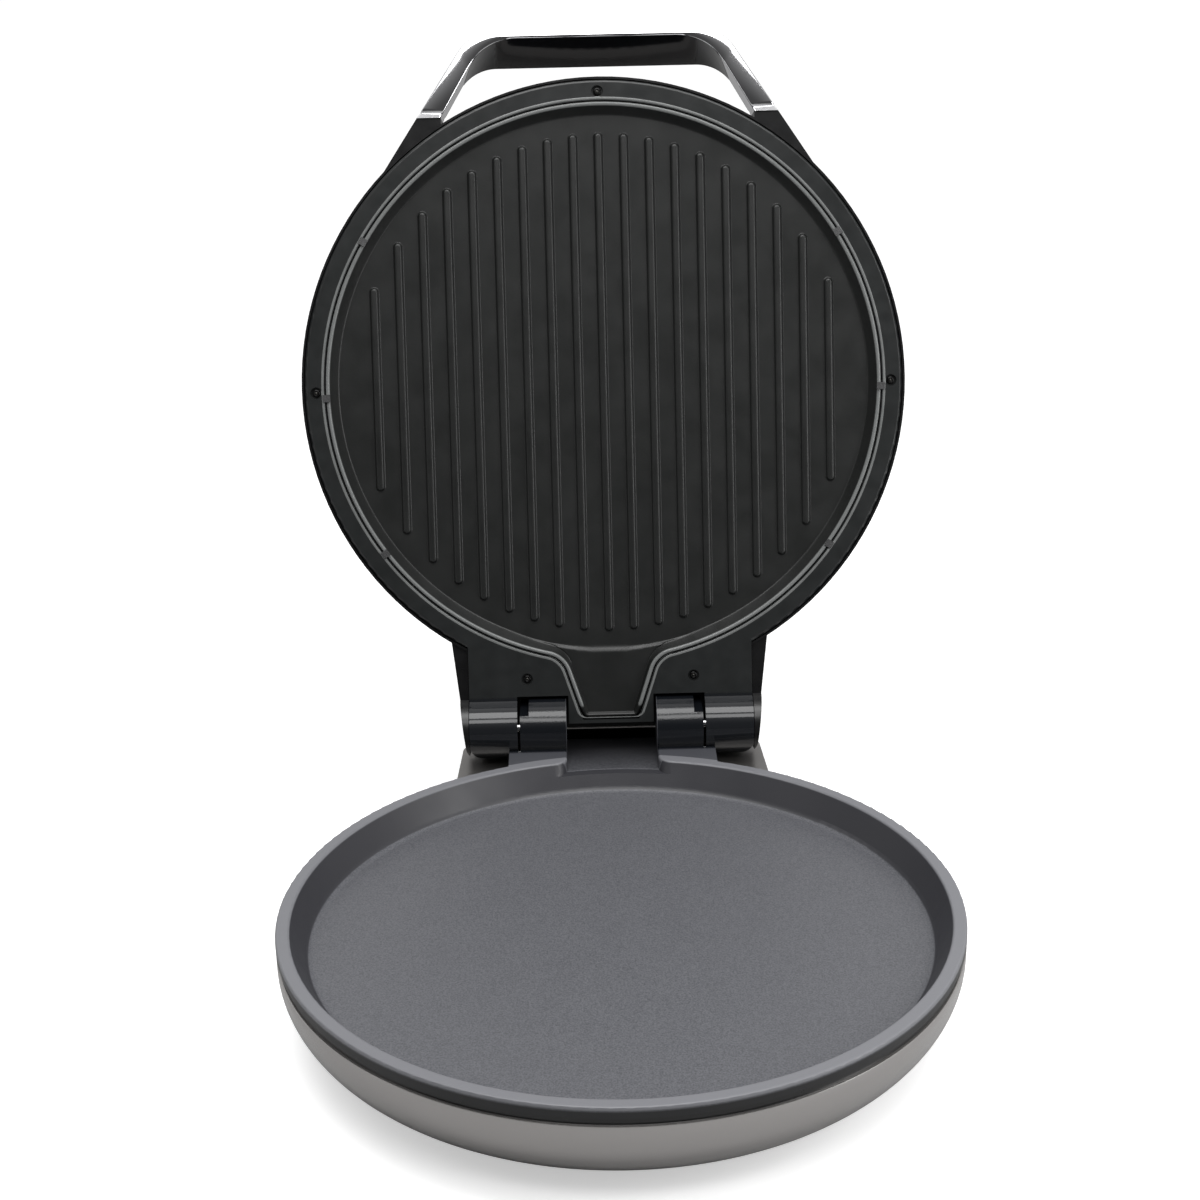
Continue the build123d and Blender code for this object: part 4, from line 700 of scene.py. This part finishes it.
def make_ribs(vertices, faces):
    """Raised ribs with rounded shoulders and ends, their ends on a circle."""
    for index in range(RIB_COUNT):
        middle = RIB_PITCH * (index - (RIB_COUNT - 1) / 2)
        half = sqrt(RIB_CIRCLE_R**2 - middle**2) - RIB_HALF
        loops = []
        for inset, rise in RIB_SECTION:
            radius = RIB_HALF - inset
            plan = list(arc((middle, half), radius, 0, pi, 13)) + list(arc((middle, -half), radius, pi, 2 * pi, 13))
            loops.append([(x, y, COOK_H - rise) for x, y in plan])
        rib_vertices, rib_faces = bands(loops)
        count = len(loops[0])
        rib_faces.append(tuple(range(len(rib_vertices) - count, len(rib_vertices))))
        offset = len(vertices)
        vertices += rib_vertices
        faces += [tuple(i + offset for i in face) for face in rib_faces]


plate_vertices, plate_faces = make_upper_plate()
make_ribs(plate_vertices, plate_faces)
new_piece("ribbed_plate", plate_vertices, plate_faces, "plate_coating", "lid", ["upper_plate"])

# rounded lip round the bezel's opening, drawn in bezel_edge: a painted highlight on the bezel's black plastic
BEZEL_INNER_R = 155.2
BEZEL_TIP_X = 15.8
LIP_SECTION = [(0.0, 2.6), (0.0, 0.75), (-0.12, 0.35), (-0.4, 0.05), (-0.85, -0.12), (-1.35, -0.12), (-2.0, 0.05)]

lip_loops = []
for inset, height in LIP_SECTION:
    outline = tongue_outline(BEZEL_INNER_R, BEZEL_TIP_X, inset, inset_tip=min(inset, 0.0) * 0.4)
    lip_loops.append([(x, y, height) for x, y in outline])
new_piece("bezel_lip", *bands(lip_loops + [lip_loops[0]]), "bezel_black", "lid", look="bezel_edge")


# ------------------------------------------------------------------ base shell
SHELL_BOTTOM_R = 114.0
SHELL_BOTTOM_Z = 4.0
SHELL_SIDE_Z = 46.0
SHELL_TOP_Z = 50.5
SHELL_T = 2.2
SHELL_ROUND = 240
FLANK_STEPS = 24


def make_base_shell():
    """Silver bowl: flat bottom, elliptical flank, rounded top edge and an inner wall."""
    wide, tall = BODY_R / MM - SHELL_BOTTOM_R, SHELL_SIDE_Z - SHELL_BOTTOM_Z
    profile = [(2.0, SHELL_BOTTOM_Z), (SHELL_BOTTOM_R * 0.55, SHELL_BOTTOM_Z)]
    for k in range(FLANK_STEPS + 1):
        a = pi / 2 * k / FLANK_STEPS
        profile.append((SHELL_BOTTOM_R + wide * sin(a), SHELL_SIDE_Z - tall * cos(a)))
    edge = BODY_R / MM
    profile += [(edge, SHELL_TOP_Z - 0.7), (edge - 0.2, SHELL_TOP_Z - 0.2), (edge - 0.7, SHELL_TOP_Z)]
    profile += [(edge - SHELL_T, SHELL_TOP_Z), (edge - SHELL_T, SHELL_SIDE_Z)]
    for k in range(FLANK_STEPS - 1, -1, -1):
        a = pi / 2 * k / FLANK_STEPS
        x = SHELL_BOTTOM_R + (wide - SHELL_T) * sin(a)
        profile.append((x, SHELL_SIDE_Z - (tall - SHELL_T) * cos(a)))
    profile.append((2.0, SHELL_BOTTOM_Z + SHELL_T))
    last = 2 * pi * (1 - 1 / SHELL_ROUND)
    loops = [[(x, y, z) for x, y in arc((0, 0), r, 0, last, SHELL_ROUND)] for r, z in profile]
    return bands(loops + [loops[0]])


new_piece("silver_bowl", *make_base_shell(), "silver_shell", "base", ["base_shell"], place=PAN)


# ------------------------------------------------------------------ lip on the housing's back wall
# it closes a narrow gap in the CAD, through which the background showed between the knuckles
LIP_HALF_X = 79.0
LIP_PROFILE = ((135.9, 53.0), (138.4, 53.0), (138.4, 57.4), (137.3, 57.4), (137.3, 55.3), (135.9, 55.3))

lip_ends = [[(x, y, z) for y, z in LIP_PROFILE] for x in (-LIP_HALF_X, LIP_HALF_X)]
lip_vertices, lip_faces = bands(lip_ends)
lip_faces += [tuple(range(len(LIP_PROFILE))), tuple(reversed(range(len(LIP_PROFILE), 2 * len(LIP_PROFILE))))]
new_piece("housing_lip", lip_vertices, lip_faces, "frame_black", "base", place=Matrix.Identity(4))


# ------------------------------------------------------------------ bezel screws
BEZEL_SCREWS = ((0.0, -160.0), (-160.0, 1.0), (160.0, 1.0), (-47.0, 164.0), (47.0, 164.0))
HEAD_PROFILE = ((2.2, 1.9), (2.2, 1.05), (2.0, 0.7), (1.6, 0.5), (1.25, 0.45), (1.05, 0.6), (0.95, 1.3))
SOCKET_PROFILE = ((0.93, 1.3), (0.6, 1.28), (0.5, 0.95), (0.3, 0.82), (0.12, 0.78))
ROUND = 24


def turned(profile, middles):
    """Vertices and faces of a turned profile, one copy at each middle, closed at its last ring."""
    vertices, faces = [], []
    for mx, my in middles:
        loops = []
        for radius, height in profile:
            ring = [(mx + x, my + y, height) for x, y in arc((0, 0), radius, 0, 2 * pi * (1 - 1 / ROUND), ROUND)]
            loops.append(ring)
        part_vertices, part_faces = bands(loops)
        offset = len(vertices)
        vertices += part_vertices
        faces += [tuple(i + offset for i in face) for face in part_faces]
        faces.append(tuple(range(len(vertices) - ROUND, len(vertices))))
    return vertices, faces


new_piece(
    "screw_heads", *turned(HEAD_PROFILE, BEZEL_SCREWS), "screw_steel", "lid", ["bezel_screws"], look="screw_black"
)
new_piece("screw_sockets", *turned(SOCKET_PROFILE, BEZEL_SCREWS), "screw_steel", "lid")


# ------------------------------------------------------------------ handle
HANDLE_ROOT_Y = -147.6
OUTER = ((99.5, HANDLE_ROOT_Y), (69.7, -192.0), 20.0)
INNER = ((86.2, HANDLE_ROOT_Y), (61.1, -189.5), 30.0)
HANDLE_BACK = 22.0
HANDLE_FRONT = 0.2  # height of the front face before it leans back
HANDLE_ROLL = 2.8  # how far the front face leans back towards the top
ROLL_Y = (152.0, 40.0)  # -y where it starts to lean, and over what length
HANDLE_EDGE = 0.9  # radius of the long edges
EDGE_SHARE = 0.32  # of the bar's width, the most that a rounded edge may take
EDGE_STEPS = 4
CROWN = 0.05  # how far the front face's middle stands out, for each 10 mm of width
BAND = 2.0  # length along y of the end band at each root
GROOVE = 0.9  # and of the groove beyond it
CURVE_POINTS = (26, 16, 14)  # along a leg, a corner and half the top


def arch(root, corner, radius, leg_points, arc_points, top_points):
    """Left-to-right line of one edge of the handle: leg, rounded corner, top bar, corner, leg."""
    leg = Vector((root[0] - corner[0], root[1] - corner[1])).normalized()
    half_turn = (pi - atan2(leg.y, leg.x)) / 2
    reach = radius / tan(half_turn)
    tangent = (corner[0] + leg.x * reach, corner[1] + leg.y * reach)
    centre = (corner[0] - reach, corner[1] + radius)
    start = atan2(tangent[1] - centre[1], tangent[0] - centre[0])
    right = list(run(root, tangent, leg_points))
    right += list(arc(centre, radius, start, -pi / 2, arc_points))
    right += list(run((centre[0], corner[1]), (0, corner[1]), top_points))[1:]
    right.append((0.0, corner[1]))
    return right + [(-x, y) for x, y in reversed(right[:-1])]


def make_handle():
    """Arched bar with rounded long edges, a band at each root and a front face that leans back."""
    outer = arch(*OUTER, *CURVE_POINTS)
    inner = arch(*INNER, *CURVE_POINTS)
    loops = []
    for (ox, oy), (ix, iy) in zip(outer, inner):
        o, i = Vector((ox, oy)), Vector((ix, iy))
        across = (i - o).normalized()
        width = (i - o).length
        rise = min(max((-oy - ROLL_Y[0]) / ROLL_Y[1], 0.0), 1.0)
        front = HANDLE_FRONT + HANDLE_ROLL * rise * rise
        from_root = HANDLE_ROOT_Y - oy
        shrink = 0.0
        if from_root < BAND:  # end band, tipped up to the light
            front = -0.5 + 0.5 * from_root
        elif from_root < BAND + GROOVE:  # groove above the band
            front, shrink = 0.9, 0.3
        r = min(HANDLE_EDGE, width * EDGE_SHARE)
        points = [(shrink, HANDLE_BACK), (shrink, front + r)]
        for k in range(1, EDGE_STEPS + 1):
            a = pi / 2 * k / EDGE_STEPS
            points.append((shrink + r * (1 - cos(a)), front + r * (1 - sin(a))))
        crown = CROWN * width / 10
        points.append((width / 2, front - crown))
        for k in range(EDGE_STEPS, 0, -1):
            a = pi / 2 * k / EDGE_STEPS
            points.append((width - shrink - r * (1 - cos(a)), front + r * (1 - sin(a))))
        points += [(width - shrink, front + r), (width - shrink, HANDLE_BACK)]
        loops.append([(o.x + across.x * d, o.y + across.y * d, h) for d, h in points])
    vertices, faces = bands(loops)
    count = len(loops[0])
    faces.append(tuple(range(count)))
    faces.append(tuple(reversed(range(len(vertices) - count, len(vertices)))))
    return vertices, faces


new_piece("chrome_handle", *make_handle(), "handle_chrome", "lid", ["handle_bar"], sharp=50.0)
